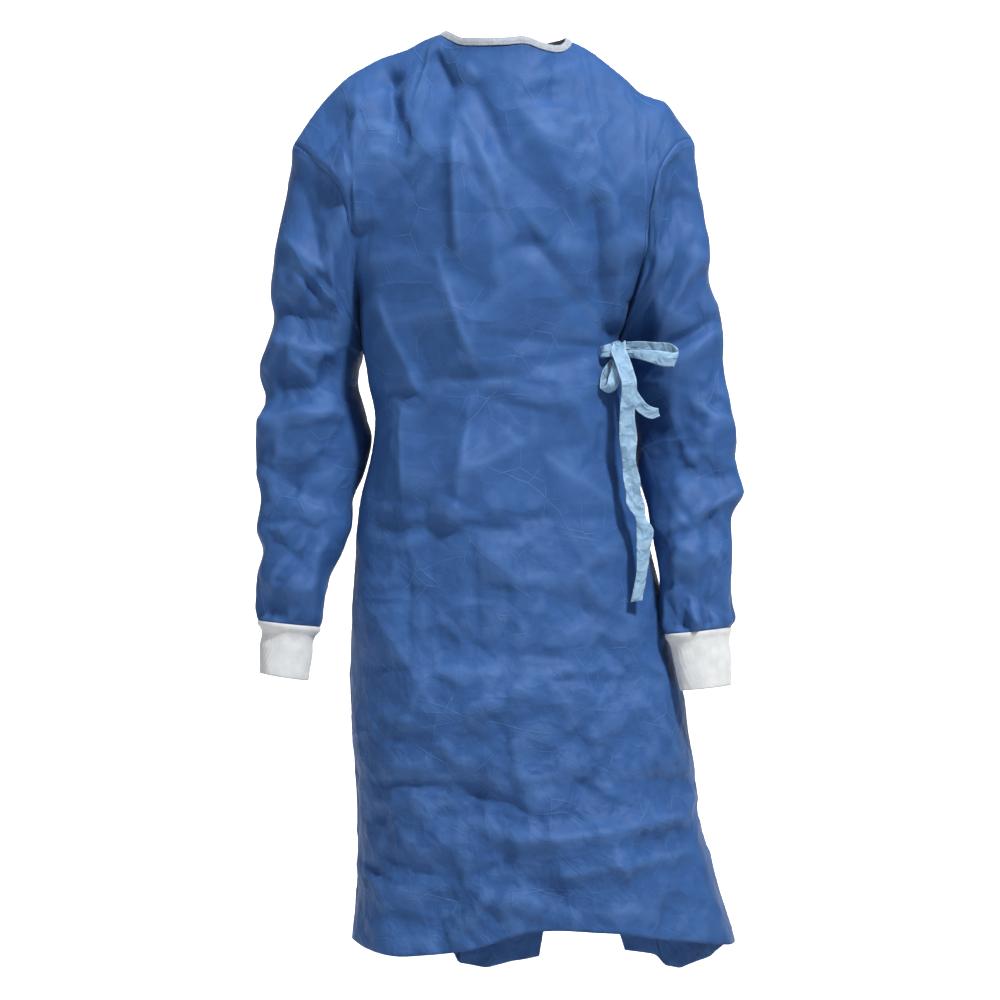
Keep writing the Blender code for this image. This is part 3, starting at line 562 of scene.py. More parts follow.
SLEEVE_CREASES_LEFT_ARM = table(Crease, (
    (193, -187, 232, -153, -4, 9, 0.2),
    (224, -160, 194, -265, -5, 10, -0.3),
    (215, -219, 247, -199, -3, 7, 0),
    (208, -300, 250, -240, 3, 11, 0.2),
    (217, -396, 290, -356, -6, 7, 0.3),
    (214, -413, 286, -378, 5, 12, 0.3),
    (211, -441, 232, -518, 4, 9, 0.4),
    (232, -518, 243, -552, 4, 9, 0.3),
    (239, -568, 305, -564, -5, 10, 0.3),
    (311, -588, 237, -626, 7, 11, 0.4),
    (237, -626, 203, -648, 6, 11, 0.3),
    (300, -608, 215, -652, -4, 10, 0),
    (199, -645, 246, -641, -3, 7, 0),
    (199, -708, 258, -709, -3, 8, 0.2),
    (237, -738, 252, -768, 3, 6, 0),
    (285, -470, 255, -505, -4, 10, 0.2),
    (262, -300, 232, -350, -4, 11, 0.2),
))

# Short random creases: a patch of cloth, how many it holds, and how they lie in it
Patch = namedtuple("Patch", "x0 z0 x1 z1 count length height width turn spread")
FRONT_PATCHES = table(Patch, (
    (-280, -1170, 300, -50, 110, 90, 1, 10, 0, 90),
    (-220, -1150, 280, -930, 90, 60, 2, 9, 0, 60),
    (-200, -940, 240, -780, 46, 60, 1.6, 8, 0, 70),
    (-180, -780, 180, -620, 30, 50, 1.2, 8, 0, 80),
    (0, -660, 90, -615, 22, 28, 1.6, 5, 10, 40),
    (-30, -470, 120, -380, 20, 60, 1.4, 6, 0, 14),
    (50, -200, 160, -70, 18, 30, 1, 5, 20, 50),
    (-200, -260, -60, -120, 16, 40, 1.2, 6, 60, 40),
    (110, -360, 150, -220, 8, 70, 1.8, 6, -80, 12),
))
BACK_PATCHES = table(Patch, (
    (-300, -1220, 320, -50, 120, 90, 1.1, 10, 0, 90),
    (-300, -1200, 320, -900, 90, 60, 1.8, 9, 0, 70),
    (-200, -900, 200, -600, 40, 60, 1.3, 8, 0, 80),
))
SLEEVE_PATCHES = table(Patch, (
    (-220, 30, 220, 620, 70, 60, 1.6, 10, 0, 90),
    (-220, 160, 220, 460, 34, 70, 2.6, 11, 10, 35),
    (-220, 0, 220, 40, 26, 22, 1.4, 5, 90, 25),
))
CREASE_FADE = 0.16
WARP_SPAN = 0.070
WARP_REACH = 0.0035
LEAST_FLANK = 0.35

# Crumpled planes: how large and how steep they are
FRONT_PLANE = 0.150
BACK_PLANE = 0.140
SMALL_PLANE = 0.052
SLEEVE_PLANE = 0.105
SLEEVE_SMALL_PLANE = 0.046
BODY_SLOPE = 0.21
FRONT_SMALL_SLOPE = 0.15
BACK_SMALL_SLOPE = 0.14
SLEEVE_SLOPE = 0.40
SLEEVE_SMALL_SLOPE = 0.16

# Where the crumpling comes in with the drop, and where the cloth is held flatter: beside the arms,
# in the back flaps' lap and under the nape tape
CRUMPLED_FROM = (0.45, 1.00)
BACK_CRUMPLED_FROM = (0.40, 1.00)
ARM_FROM = (0.30, 0.36)
ARM_TO = (0.62, 0.70)
SIDE_PHI_RANGE = (66, 80)
ARM_PHI_RANGE = (100, 114)
LAP_RANGE = (-26, -4)
NAPE_PHI_RANGE = (150, 165)
NAPE_TO = (0.06, 0.10)

# Seams, hems and gathers
SEAM_PINCH = 0.0009
SEAM_PINCH_WIDTH = 0.0035
SEAM_SWELL_REACH = 0.009
SEAM_TUCK = 0.0020
SEAM_TUCK_PHI = 0.25
SEAM_FADE = 0.010
PUCKER_HEIGHT = 0.00025
PUCKER_PITCH = 0.0115
PUCKER_REACH = 0.012
HEM_BAND = 0.019
HEM_STEP = 0.0005
FRONT_HEM_ROUNDING = 0.014
BACK_HEM_ROUNDING = 0.004
FLAP_BAND = 0.010
GATHER_COUNT = 11
GATHER_HEIGHT = 0.0020
GATHER_REACH = 0.045
CAP_GATHER_COUNT = 31
CAP_GATHER_HEIGHT = 0.0004
CAP_GATHER_REACH = 0.020
SIDE_LIMIT = 0.0012
LAP_LIMIT = 0.0010

# Cuff knit, and how deep the creases are
RIB_COUNT = 105
RIB_HEIGHT = 0.00022
ROLL_HEIGHT = 0.0010
ROLL_WIDTH = 0.0070
CREASE_DEPTH = 1.5
SLEEVE_CREASE_DEPTH = 1.7
LEAST_CRUMPLE = 0.08
# How sharp a crease must be to get the full painted highlight on its crest, or the full painted shade in its
# trough
CREASE_SHADING_FULL = 0.0004
LATTICE = 64

# The neck binding and its stitches
BINDING_COLUMNS = 320
BINDING_ROWS = 12
BINDING_SWELL = 0.0006
STITCH_ROWS = (0.0022, 0.0078)
STITCH_GROOVE_WIDTH = 0.0011
STITCH_GROOVE_DEPTH = 0.0005
STITCH_PITCH = 0.0046
STITCH_LENGTH = 0.0030
THREAD_RADIUS = 0.00035

# The tie's ribbons and knot
RIBBON_COLUMNS = 10
RIBBON_CUP = 0.0009
RIBBON_RIPPLE = 0.0009
KNOT_SIDES = 64
KNOT_LEVELS = 24
KNOT_TILT = 0.35

# Colours, as linear red, green and blue
GOWN_DARK = (0.014, 0.052, 0.168)
GOWN_MIDDLE = (0.019, 0.066, 0.205)
GOWN_LIGHT = (0.026, 0.084, 0.246)
# The fibres' colour, and also the colour that the painted highlights on crests and crease lines lighten towards
GOWN_FIBRE_AND_HIGHLIGHT = (0.080, 0.165, 0.370)
GOWN_SHEEN = (0.350, 0.600, 1.000, 1)
# Painted highlights: how much the crests and the thin crease lines are lightened towards the fibre colour
GOWN_CREST_HIGHLIGHT = 0.20
GOWN_LINE_HIGHLIGHT = 0.30
TIE_DARK = (0.150, 0.265, 0.400)
TIE_LIGHT = (0.220, 0.350, 0.490)
# Painted highlight colour for the crests of the ties
TIE_CREST_HIGHLIGHT = (0.400, 0.540, 0.680)
KNIT_DARK = (0.520, 0.540, 0.560)
KNIT_LIGHT = (0.630, 0.645, 0.660)
# Painted shade colour between the knit's ribs
KNIT_GROOVE_SHADE = (0.300, 0.325, 0.360)
BINDING_DARK = (0.200, 0.225, 0.275)
BINDING_LIGHT = (0.290, 0.320, 0.370)
# Painted shade colour for the binding's stitched grooves and other troughs
BINDING_GROOVE_SHADE = (0.110, 0.130, 0.170)
THREAD_DARK = (0.440, 0.470, 0.520)
THREAD_LIGHT = (0.600, 0.630, 0.680)
FLOOR_DARK = (0.800, 0.800, 0.800)
FLOOR_LIGHT = (0.840, 0.840, 0.840)

# The studio: a floor swept up behind, lights that all aim at the gown's middle, and the camera
FLOOR_Z = -1.45
SWEEP_FRONT = 7.0
SWEEP_BACK = 5.4
SWEEP_RADIUS = 1.6
SWEEP_TOP = 5.0
SWEEP_HALF_WIDTH = 6.0
AIM = (0.0, 0.0, -0.60)
SWEEP_AIM = (0.0, 6.8, -0.6)
Lamp = namedtuple("Lamp", "name x y z size watts red green blue")
LAMPS = (
    Lamp("key", 2.1, -3.3, 4.2, 0.8, 550, 1.0, 0.99, 0.97),
    Lamp("fill", -2.8, -1.5, 1.4, 0.9, 30, 0.97, 0.98, 1.0),
    Lamp("top", 0.3, -0.4, 2.2, 1.2, 30, 1.0, 1.0, 1.0),
    Lamp("sweep", 0.0, 3.2, 2.6, 3.0, 460, 1.0, 1.0, 1.0),
)
WORLD_COLOUR = (1.0, 1.0, 1.0)
WORLD_STRENGTH = 0.15
CAMERA_PLACE = (-0.004, -5.5, -0.600)
CAMERA_LENS = 150
CAMERA_SENSOR = 36


def smooth(at, keys, values):
    """A cubic through values (one number or one point for each key), read at any place."""
    keys = np.asarray(keys, float)
    values = np.asarray(values, float)
    slopes = np.gradient(values, keys, axis=0)
    at = np.clip(np.asarray(at, float), keys[0], keys[-1])
    i = np.clip(np.searchsorted(keys, at) - 1, 0, len(keys) - 2)
    span = keys[i + 1] - keys[i]
    t = (at - keys[i]) / span
    if values.ndim > 1:
        t = t[..., None]
        span = span[..., None]
    rise = t * t * (3 - 2 * t)
    lead = (t**3 - 2 * t**2 + t) * span
    trail = (t**3 - t**2) * span
    return values[i] * (1 - rise) + values[i + 1] * rise + lead * slopes[i] + trail * slopes[i + 1]


def ramp(value, low, high):
    """0 below low, 1 above high, and smooth between them."""
    t = np.clip((value - low) / (high - low), 0, 1)
    return t * t * (3 - 2 * t)


def column(rows, name):
    return [getattr(row, name) for row in rows]


def signed_power(value, power):
    return np.sign(value) * np.abs(value) ** power


def turn_between(phi, other):
    """The smallest angle from other to phi, in degrees."""
    return (np.asarray(phi, float) - other + 180) % 360 - 180


def body_xy(phi, drop):
    """The body's outer surface at the angle phi from the front, in degrees, and a drop."""
    keys = column(SECTIONS, "drop")
    left, right, front, back = (smooth(drop, keys, column(SECTIONS, n)) for n in Section._fields[1:])
    across = signed_power(np.sin(np.radians(phi)), 2 / SQUARENESS)
    along = signed_power(np.cos(np.radians(phi)), 2 / SQUARENESS)
    out = flute(phi, drop)
    x = (left + right) / 2 + (right - left) / 2 * across + out * np.sin(np.radians(phi))
    y = -along * np.where(along > 0, front, back) - out * np.cos(np.radians(phi))
    return x, y


def flute(phi, drop):
    out = np.zeros(np.broadcast(phi, drop).shape)
    for row in FLUTES:
        share = np.exp(-((turn_between(phi, row.phi) / row.span) ** 2))
        out = out + row.out * share * ramp(drop, row.start, row.full)
    return out


def from_middle(phi):
    """The angle from the front's or the back's middle, whichever is nearer."""
    return np.where(np.abs(phi) <= 90, np.abs(phi), 180 - np.abs(phi))


def neck_angle(phi):
    """The angle round the neck seam where a column of the body starts."""
    phi = np.asarray(phi, float)
    side = np.sign(phi)
    share = from_middle(phi) / NECK_SPAN
    level = np.degrees(np.arcsin(np.clip(share, -1, 1)))
    turn = (level + 90 * share) / 2
    return side * np.where(np.abs(phi) <= 90, turn, 180 - turn)


def neck_edge(angle):
    """The neck seam at an angle round the neck, 0 at the front and 90 at the wearer's left."""
    turn = np.radians(angle)
    x = NECK_MIDDLE + NECK_HALF_WIDTH * np.sin(turn)
    y = -np.cos(turn) * np.where(np.cos(turn) > 0, NECK_FRONT, NECK_BACK)
    z = smooth(angle, column(NECK_HEIGHTS, "angle"), column(NECK_HEIGHTS, "z"))
    return np.stack([x, y, z], axis=-1)


def shoulder_edge(side, share):
    points = SHOULDER_RIGHT if side > 0 else SHOULDER_LEFT
    return smooth(share, np.linspace(0, 1, len(points)), points)


def armhole_edge(side, turn):
    """The armhole at a turn in degrees: 0 at the top, 90 in front, 180 under the arm."""
    points = ARMHOLE_RIGHT if side > 0 else ARMHOLE_LEFT
    ring = points[-3:] + points + points[:4]
    keys = (np.arange(len(ring)) - 3) * 360 / len(points)
    return smooth(np.asarray(turn, float) % 360, keys, ring)


def top_edge(phi):
    """Where the column at phi starts: on the neck seam or on a shoulder seam."""
    phi = np.asarray(phi, float)
    folded = from_middle(phi)
    share = np.clip((folded - NECK_SPAN) / (SIDE_PHI - NECK_SPAN), 0, 1)
    left = shoulder_edge(-1, share)
    right = shoulder_edge(1, share)
    shoulder = np.where((phi > 0)[..., None], right, left)
    return np.where((folded < NECK_SPAN)[..., None], neck_edge(neck_angle(phi)), shoulder)


def chest_column(phi, share):
    """A column from the top edge down to the underarm, before the armhole pulls it aside."""
    top = top_edge(phi)
    folded = from_middle(phi)
    arch_share = NECK_ARCH + (1 - NECK_ARCH) * ramp(folded, 0.2 * NECK_SPAN, 1.1 * NECK_SPAN)
    in_arch = np.minimum(share / SHOULDER_ARCH, 1) * math.pi / 2
    after = np.maximum(share - SHOULDER_ARCH, 0) * math.pi / (2 * SHOULDER_ARCH)
    whole = 1 + (1 - SHOULDER_ARCH) * math.pi / (2 * SHOULDER_ARCH)
    fall = arch_share * (1 - np.cos(in_arch) + after) / whole + (1 - arch_share) * share
    reach = arch_share * np.sin(in_arch) + (1 - arch_share) * (1 - (1 - share) ** 2)
    z = top[..., 2] + (-UNDERARM_DROP - top[..., 2]) * fall
    body_x, body_y = body_xy(phi, -z)
    spread = 1 - (1 - share) ** 2
    x = top[..., 0] + (body_x - top[..., 0]) * spread
    y = top[..., 1] + (body_y - top[..., 1]) * reach
    return np.stack([x, y, z], axis=-1)


def chest(phi, share):
    """The body above the underarm: share 0 on the top edge, 1 at the underarm."""
    phi, share = np.broadcast_arrays(turn_between(phi, 0), np.asarray(share, float))
    points = chest_column(phi, share)
    behind = np.abs(phi) > 90
    for side in (-1, 1):
        for back in (False, True):
            turn = 360 - 180 * share if back else 180 * share
            edge_phi = side * np.where(back, SIDE_PHI + 1e-6, SIDE_PHI)
            pull = armhole_edge(side, turn) - chest_column(np.full(phi.shape, edge_phi), share)
            near = np.clip(1 - np.abs(90 - np.abs(phi)) / ARMHOLE_EASE, 0, 1) ** 2
            here = (np.sign(phi) == side) & (behind == back)
            points = points + pull * (near * here)[..., None]
    return points


def hem_z(phi, hem):
    x, _ = body_xy(phi, HEM_DROP)
    rounding = FRONT_HEM_ROUNDING if hem is HEM_FRONT else BACK_HEM_ROUNDING
    sides = np.linspace(-rounding, rounding, 7)
    return sum(np.interp(x + aside, column(hem, "x"), column(hem, "z")) for aside in sides) / len(sides)


def skirt(phi, share, hem):
    """The body below the underarm: share 0 at the underarm, 1 at the hem."""
    phi, share = np.broadcast_arrays(turn_between(phi, 0), np.asarray(share, float))
    z = -UNDERARM_DROP + (hem_z(phi, hem) + UNDERARM_DROP) * share
    x, y = body_xy(phi, -z)
    return np.stack([x, y, z], axis=-1)


def row_shares():
    """For each row of a body panel its share of the chest, and then of the skirt."""
    chest_shares = np.linspace(0, 1, CHEST_ROWS + 1)
    waist_share = (BELT_DROP - UNDERARM_DROP) / SKIRT_LENGTH
    skirt_shares = np.append(np.linspace(0, 1, SKIRT_ROWS + 1)[1:], waist_share)
    return chest_shares, np.sort(skirt_shares)


def row_drops():
    in_chest, in_skirt = row_shares()
    return np.concatenate([in_chest * UNDERARM_DROP, UNDERARM_DROP + in_skirt * SKIRT_LENGTH])


def panel(phi_at, hem, columns):
    """The points of a body panel, row by row. phi_at gives a column's angle at a drop."""
    in_chest, in_skirt = row_shares()
    rows = [chest(phi_at(columns, UNDERARM_DROP * share), share) for share in in_chest]
    for share in in_skirt:
        phi = phi_at(columns, UNDERARM_DROP + SKIRT_LENGTH * share)
        rows.append(skirt(phi, share, hem))
    return np.array(rows)


def normals_of(points, closed=False):
    """The outward direction at each point of a grid whose rows run downwards."""
    if closed:
        across = np.roll(points, -1, axis=1) - np.roll(points, 1, axis=1)
    else:
        across = np.gradient(points, axis=1)
    down = np.gradient(points, axis=0)
    out = np.cross(down, across)
    return out / np.linalg.norm(out, axis=2, keepdims=True)


def raised(points, height, closed=False):
    """The points of a grid, each moved out by its height."""
    return points + normals_of(points, closed) * height[..., None]


def run_along(line):
    """The distance of each point of a line from its start."""
    return np.concatenate([[0], np.cumsum(np.linalg.norm(np.diff(line, axis=0), axis=1))])


def from_top(points):
    """The distance of each point from the top row, down its column."""
    steps = np.linalg.norm(np.diff(points, axis=0), axis=2)
    return np.concatenate([np.zeros((1, points.shape[1])), np.cumsum(steps, axis=0)])


def placed(name, data):
    """A new object of the scene that shows the data."""
    made = bpy.data.objects.new(name, data)
    bpy.context.scene.collection.objects.link(made)
    return made


def fold_height(points, folds):
    """How far each point is pushed out by a table of folds, seen from the front."""
    height = np.zeros(points.shape[:2])
    for fold in folds:
        start = np.array([fold.x0, fold.z0])
        run = np.array([fold.x1, fold.z1]) - start
        offset = points[..., [0, 2]] - start
        along = np.clip(offset @ run / (run @ run), 0, 1)
        away = np.linalg.norm(offset - along[..., None] * run, axis=-1)
        height += fold.height * np.exp(-((away / fold.width) ** 2))
    return height


def flap_reach(side, drop):
    name = "left_phi" if side > 0 else "right_phi"
    return smooth(drop, column(FLAP_EDGES, "drop"), column(FLAP_EDGES, name))


def flap_lift(phi, drop):
    """How far the outer flap stands off the inner one, where it passes over it."""
    past = -np.asarray(phi, float) - (360 - flap_reach(1, drop))
    return FLAP_LIFT * ramp(past, -LIFT_RUN, -LIFT_LEAD)


def flat_normals(points):
    """The level part of each outward direction."""
    out = normals_of(points) * [1, 1, 0]
    return out / np.linalg.norm(out, axis=2, keepdims=True)


def ring_points(ring, turns):
    """An oval ring; turn 0 is its outer edge, 90 its front."""
    outer = np.array([ring.outer_x, ring.outer_y, ring.outer_z])
    inner = np.array([ring.inner_x, ring.inner_y, ring.inner_z])
    middle = (outer + inner) / 2
    half = (outer - inner) / 2
    turn = np.radians(turns)[:, None]
    return middle + np.cos(turn) * half + np.sin(turn) * np.array([0, -ring.half_depth, 0])


def wander(places, span, seed):
    """Smooth seeded noise from -1 to 1, whose features have about the size of the span."""
    cells = np.asarray(places, float) / span
    base = np.floor(cells).astype(int)
    part = cells - base
    part = part * part * (3 - 2 * part)
    axes = cells.shape[-1]
    lattice = np.random.default_rng(seed).uniform(-1, 1, (LATTICE,) * axes)
    total = np.zeros(cells.shape[:-1])
    for corner in np.ndindex(*(2,) * axes):
        weight = np.prod(np.where(np.array(corner) == 1, part, 1 - part), axis=-1)
        total += weight * lattice[tuple(np.moveaxis((base + corner) % LATTICE, -1, 0))]
    return total


def warped(flat, seed):
    """Flat places moved a little, so that no crease along them is straight."""
    aside = np.stack([wander(flat, WARP_SPAN, seed + k) for k in range(flat.shape[-1])], axis=-1)
    return flat + WARP_REACH * aside


def crease_height(flat, rows, around=None):
    """The height of a table of creases at flat places. On a tube, around is the way round it."""
    height = np.zeros(flat.shape[:-1])
    for row in rows:
        run = np.array([row.x1 - row.x0, row.z1 - row.z0])
        length = math.hypot(*run)
        offset = flat - [row.x0, row.z0]
        if around is not None:
            offset[..., 0] = (offset[..., 0] + around / 2) % around - around / 2
        along = offset @ run / length**2
        across = (offset[..., 0] * run[1] - offset[..., 1] * run[0]) / length
        near = (along > -CREASE_FADE) & (along < 1 + CREASE_FADE) & (np.abs(across) < 6 * row.width)
        if not near.any():
            continue
        flank = row.width * np.maximum(1 + row.lean * np.sign(across[near]), LEAST_FLANK)
        away = np.abs(across[near]) / flank
        crest = 0.55 * np.exp(-away * away / (0.30 + away)) + 0.45 * np.clip(1 - away / 4, 0, 1)
        ends = ramp(along[near], -CREASE_FADE, CREASE_FADE) * ramp(1 - along[near], -CREASE_FADE, CREASE_FADE)
        height[near] += row.height * crest * ends
    return height


def crumple(flat, size, slope, seed, around=None):
    """Crumpled cloth: the lowest of many slanted square cones, which meet in straight creases."""
    cells = np.array([size, size])
    if around is not None:
        cells[0] = around / round(around / size)
    turns_round = 10**6 if around is None else round(around / size)
    draw = np.random.default_rng(seed)
    jitter = draw.uniform(0.1, 0.9, (LATTICE, LATTICE, 2))
    turn = draw.uniform(0, math.pi, (LATTICE, LATTICE))
    stretch = draw.uniform(0.6, 1.5, (LATTICE, LATTICE))
    sunk = draw.uniform(0, 0.35, (LATTICE, LATTICE)) * size
    base = np.floor(flat / cells).astype(int)
    lowest = np.full(flat.shape[:-1], np.inf)
    for i in range(-2, 3):
        for j in range(-2, 3):
            cell = base + [i, j]
            key = (cell[..., 0] % turns_round % LATTICE, cell[..., 1] % LATTICE)
            offset = flat - (cell + jitter[key]) * cells
            along = offset[..., 0] * np.cos(turn[key]) + offset[..., 1] * np.sin(turn[key])
            across = offset[..., 1] * np.cos(turn[key]) - offset[..., 0] * np.sin(turn[key])
            cone = np.maximum(np.abs(along) * stretch[key], np.abs(across)) + sunk[key]
            lowest = np.minimum(lowest, cone)
    return slope * (lowest - lowest.mean())


def front_facing(points, closed=False):
    """How much of the crumpling shows: all of it on the front and back, little on the outline."""
    return LEAST_CRUMPLE + (1 - LEAST_CRUMPLE) * np.abs(normals_of(points, closed)[..., 1]) ** 1.5


def scattered(patches, seed):
    """Short creases thrown over each patch of a table, the same ones each time."""
    draw = np.random.default_rng(seed)
    rows = []
    for patch in patches:
        for _ in range(int(patch.count)):
            x = draw.uniform(patch.x0, patch.x1)
            z = draw.uniform(patch.z0, patch.z1)
            turn = math.radians(patch.turn + patch.spread * draw.uniform(-1, 1))
            half = patch.length * draw.uniform(0.4, 1.4) / 2
            height = patch.height * draw.choice((-1, 1)) * draw.uniform(0.4, 1.4)
            width = patch.width * draw.uniform(0.7, 1.3)
            dx = half * math.cos(turn)
            dz = half * math.sin(turn)
            rows.append(Crease(x - dx, z - dz, x + dx, z + dz, height, width, draw.uniform(-0.5, 0.5)))
    return rows


def echoed(rows, middle, drop, share):
    """The creases of one side turned about the middle and moved down, for the side that is hidden."""
    return [
        row._replace(x0=2 * middle - row.x0, z0=row.z0 - drop, x1=2 * middle - row.x1, z1=row.z1 - drop,
                     height=-share * row.height)
        for row in rows
    ]


def cloth_places(points, closed=False):
    """The distance across the cloth from its middle column, and down from its top row."""
    ring = np.concatenate([points, points[:, :1]], axis=1) if closed else points
    steps = np.linalg.norm(np.diff(ring, axis=1), axis=2)
    across = np.concatenate([np.zeros((len(ring), 1)), np.cumsum(steps, axis=1)], axis=1)
    across -= across[:, across.shape[1] // 2][:, None]
    return np.stack([across, from_top(ring)], axis=-1)


def softened(values):
    """Each value of a grid averaged with its neighbours."""
    wide = np.pad(values, 1, mode="edge")
    return sum(wide[1 + i:1 + i + values.shape[0], 1 + j:1 + j + values.shape[1]]
               for i in (-1, 0, 1) for j in (-1, 0, 1)) / 9


def crease_shading_of(height):
    """How sharply the cloth is creased at each point: above 0 on a crest, below 0 in a trough. The materials
    paint highlights on the crests and shade in the troughs from it.
    """
    smoothed = softened(softened(height))
    return np.clip((smoothed - softened(softened(softened(smoothed)))) / CREASE_SHADING_FULL, -1, 1)


def pinch(distance):
    """The swell beside a seam, whose stitches hold the very edge down."""
    rise = 1 - np.exp(-((distance / SEAM_PINCH_WIDTH) ** 2))
    return SEAM_PINCH * rise * np.exp(-distance / SEAM_SWELL_REACH)


def pucker(distance, run, seed):
    """The small waves that a seam's thread draws up beside it."""
    uneven = 1 + 0.6 * wander(np.stack([run, np.zeros_like(run)], axis=-1), 0.03, seed)
    wave = np.sin(2 * math.pi * run / PUCKER_PITCH + 3 * uneven)
    rise = ramp(distance, 0.0, SEAM_PINCH_WIDTH) * np.exp(-distance / PUCKER_REACH)
    return PUCKER_HEIGHT * uneven * wave * rise


def shell(name, points, places, crease_shading, thickness, closed=False, offset=-1.0):
    """A thin wall of cloth on a grid of points, with its flat places as UV coordinates and its crease shading,
    from which its material paints highlights and shade.
    """
    rows, columns = points.shape[:2]
    index = np.arange(rows * columns).reshape(rows, columns)
    if closed:
        index = np.concatenate([index, index[:, :1]], axis=1)
    corners = ((slice(None, -1), slice(None, -1)), (slice(1, None), slice(None, -1)),
               (slice(1, None), slice(1, None)), (slice(None, -1), slice(1, None)))
    quads = np.stack([index[c] for c in corners], axis=-1).reshape(-1, 4)
    mesh = bpy.data.meshes.new(name)
    mesh.from_pydata(points.reshape(-1, 3).tolist(), [], quads.tolist())
    flat = np.stack([places[c] for c in corners], axis=2)
    mesh.uv_layers.new(name="cloth").data.foreach_set("uv", flat.astype(np.float32).ravel())
    mesh.attributes.new("crease_shading", "FLOAT", "POINT").data.foreach_set("value", crease_shading.astype(np.float32).ravel())
    mesh.shade_smooth()
    piece = placed(name, mesh)
    wall = piece.modifiers.new("wall", "SOLIDIFY")
    wall.thickness = thickness
    wall.offset = offset
    return piece


def stand_for(piece, material, node, with_pieces=()):
    """Dress a piece in its material, hang it on the root, and hide the part of the model that it stands for."""
    piece.data.materials.append(material)
    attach(piece, "root")
    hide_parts(node)


def seam_work(points, places, seam_columns, seed):
    """The height along the top row and along the columns given, and how much creases may show there."""
    height = np.zeros(points.shape[:2])
    fade = np.ones(points.shape[:2])
    for column in seam_columns:
        distance = np.abs(places[..., 0] - places[:, column, 0][:, None])
        run = np.broadcast_to(run_along(points[:, column])[:, None], distance.shape)
        height += pinch(distance) + pucker(distance, run, seed + column % 7)
        fade *= ramp(distance, 0, SEAM_FADE)
    down = from_top(points)
    height += pinch(down) + pucker(down, places[..., 0], seed + 9)
    fade *= ramp(down, 0, SEAM_FADE)
    return height, fade


def hem_work(points, band):
    """The step of a turned hem of the band's width along the lowest row."""
    down = from_top(points)
    left = down[-1:] - down
    return HEM_STEP * (1 - ramp(left, band - 0.001, band + 0.001))


def limited(height, limit):
    """The height held within plus and minus a limit, softly."""
    return limit * np.tanh(height / limit)


def front_shell():
    side = np.linspace(NECK_SPAN, SIDE_PHI, FRONT_SIDE_COLUMNS + 1)[1:]
    neck = np.linspace(-NECK_SPAN, NECK_SPAN, FRONT_NECK_COLUMNS + 1)
    columns = np.concatenate([-side[::-1], neck, side])
    points = panel(lambda phi, drop: phi, HEM_FRONT, columns)
    places = cloth_places(points)
    places[..., 1] = -points[..., 2]
    from_seam = SIDE_PHI - np.abs(columns)
    fade = ramp(from_seam, 0, FOLD_SEAM_FADE)[None, :] * ramp(from_top(points), 0, 0.06)
    folds = fold_height(points, FRONT_FOLDS) * fade
    seams, soft = seam_work(points, places, (0, -1), 11)
    flat = warped(points[..., [0, 2]], 21)
    drops = -points[..., 2]
    fine = CREASE_DEPTH * crease_height(flat, FRONT_CREASES)
    fine += crease_height(warped(flat, 31), scattered(FRONT_PATCHES, 41))
    lower = ramp(drops, *CRUMPLED_FROM)
    facing = front_facing(points)
    fine += crumple(flat, FRONT_PLANE, BODY_SLOPE, 43) * facing
    fine += crumple(warped(places, 33), SMALL_PLANE, FRONT_SMALL_SLOPE, 45) * (0.15 + 0.85 * lower) * facing
    beside = ramp(np.abs(columns), *SIDE_PHI_RANGE)[None, :]
    beside = beside * ramp(drops, *ARM_FROM) * (1 - ramp(drops, *ARM_TO))
    fine = fine * (1 - beside) + limited(fine, SIDE_LIMIT) * beside
    height = folds + fine * soft + seams + hem_work(points, HEM_BAND)
    points = raised(points, height)
    piece = shell("front_panel_shell", points, places, crease_shading_of(fine + seams), GOWN_SHELL)
    stand_for(piece, GOWN, "front_panel")


def flap_columns(side):
    start = SIDE_PHI
    neck = (180 - NECK_SPAN - start) / (flap_reach(side, 0.0) - start)
    return np.concatenate([
        np.linspace(0, neck, FLAP_SIDE_COLUMNS + 1)[:-1],
        np.linspace(neck, 1, FLAP_NECK_COLUMNS + 1),
    ])


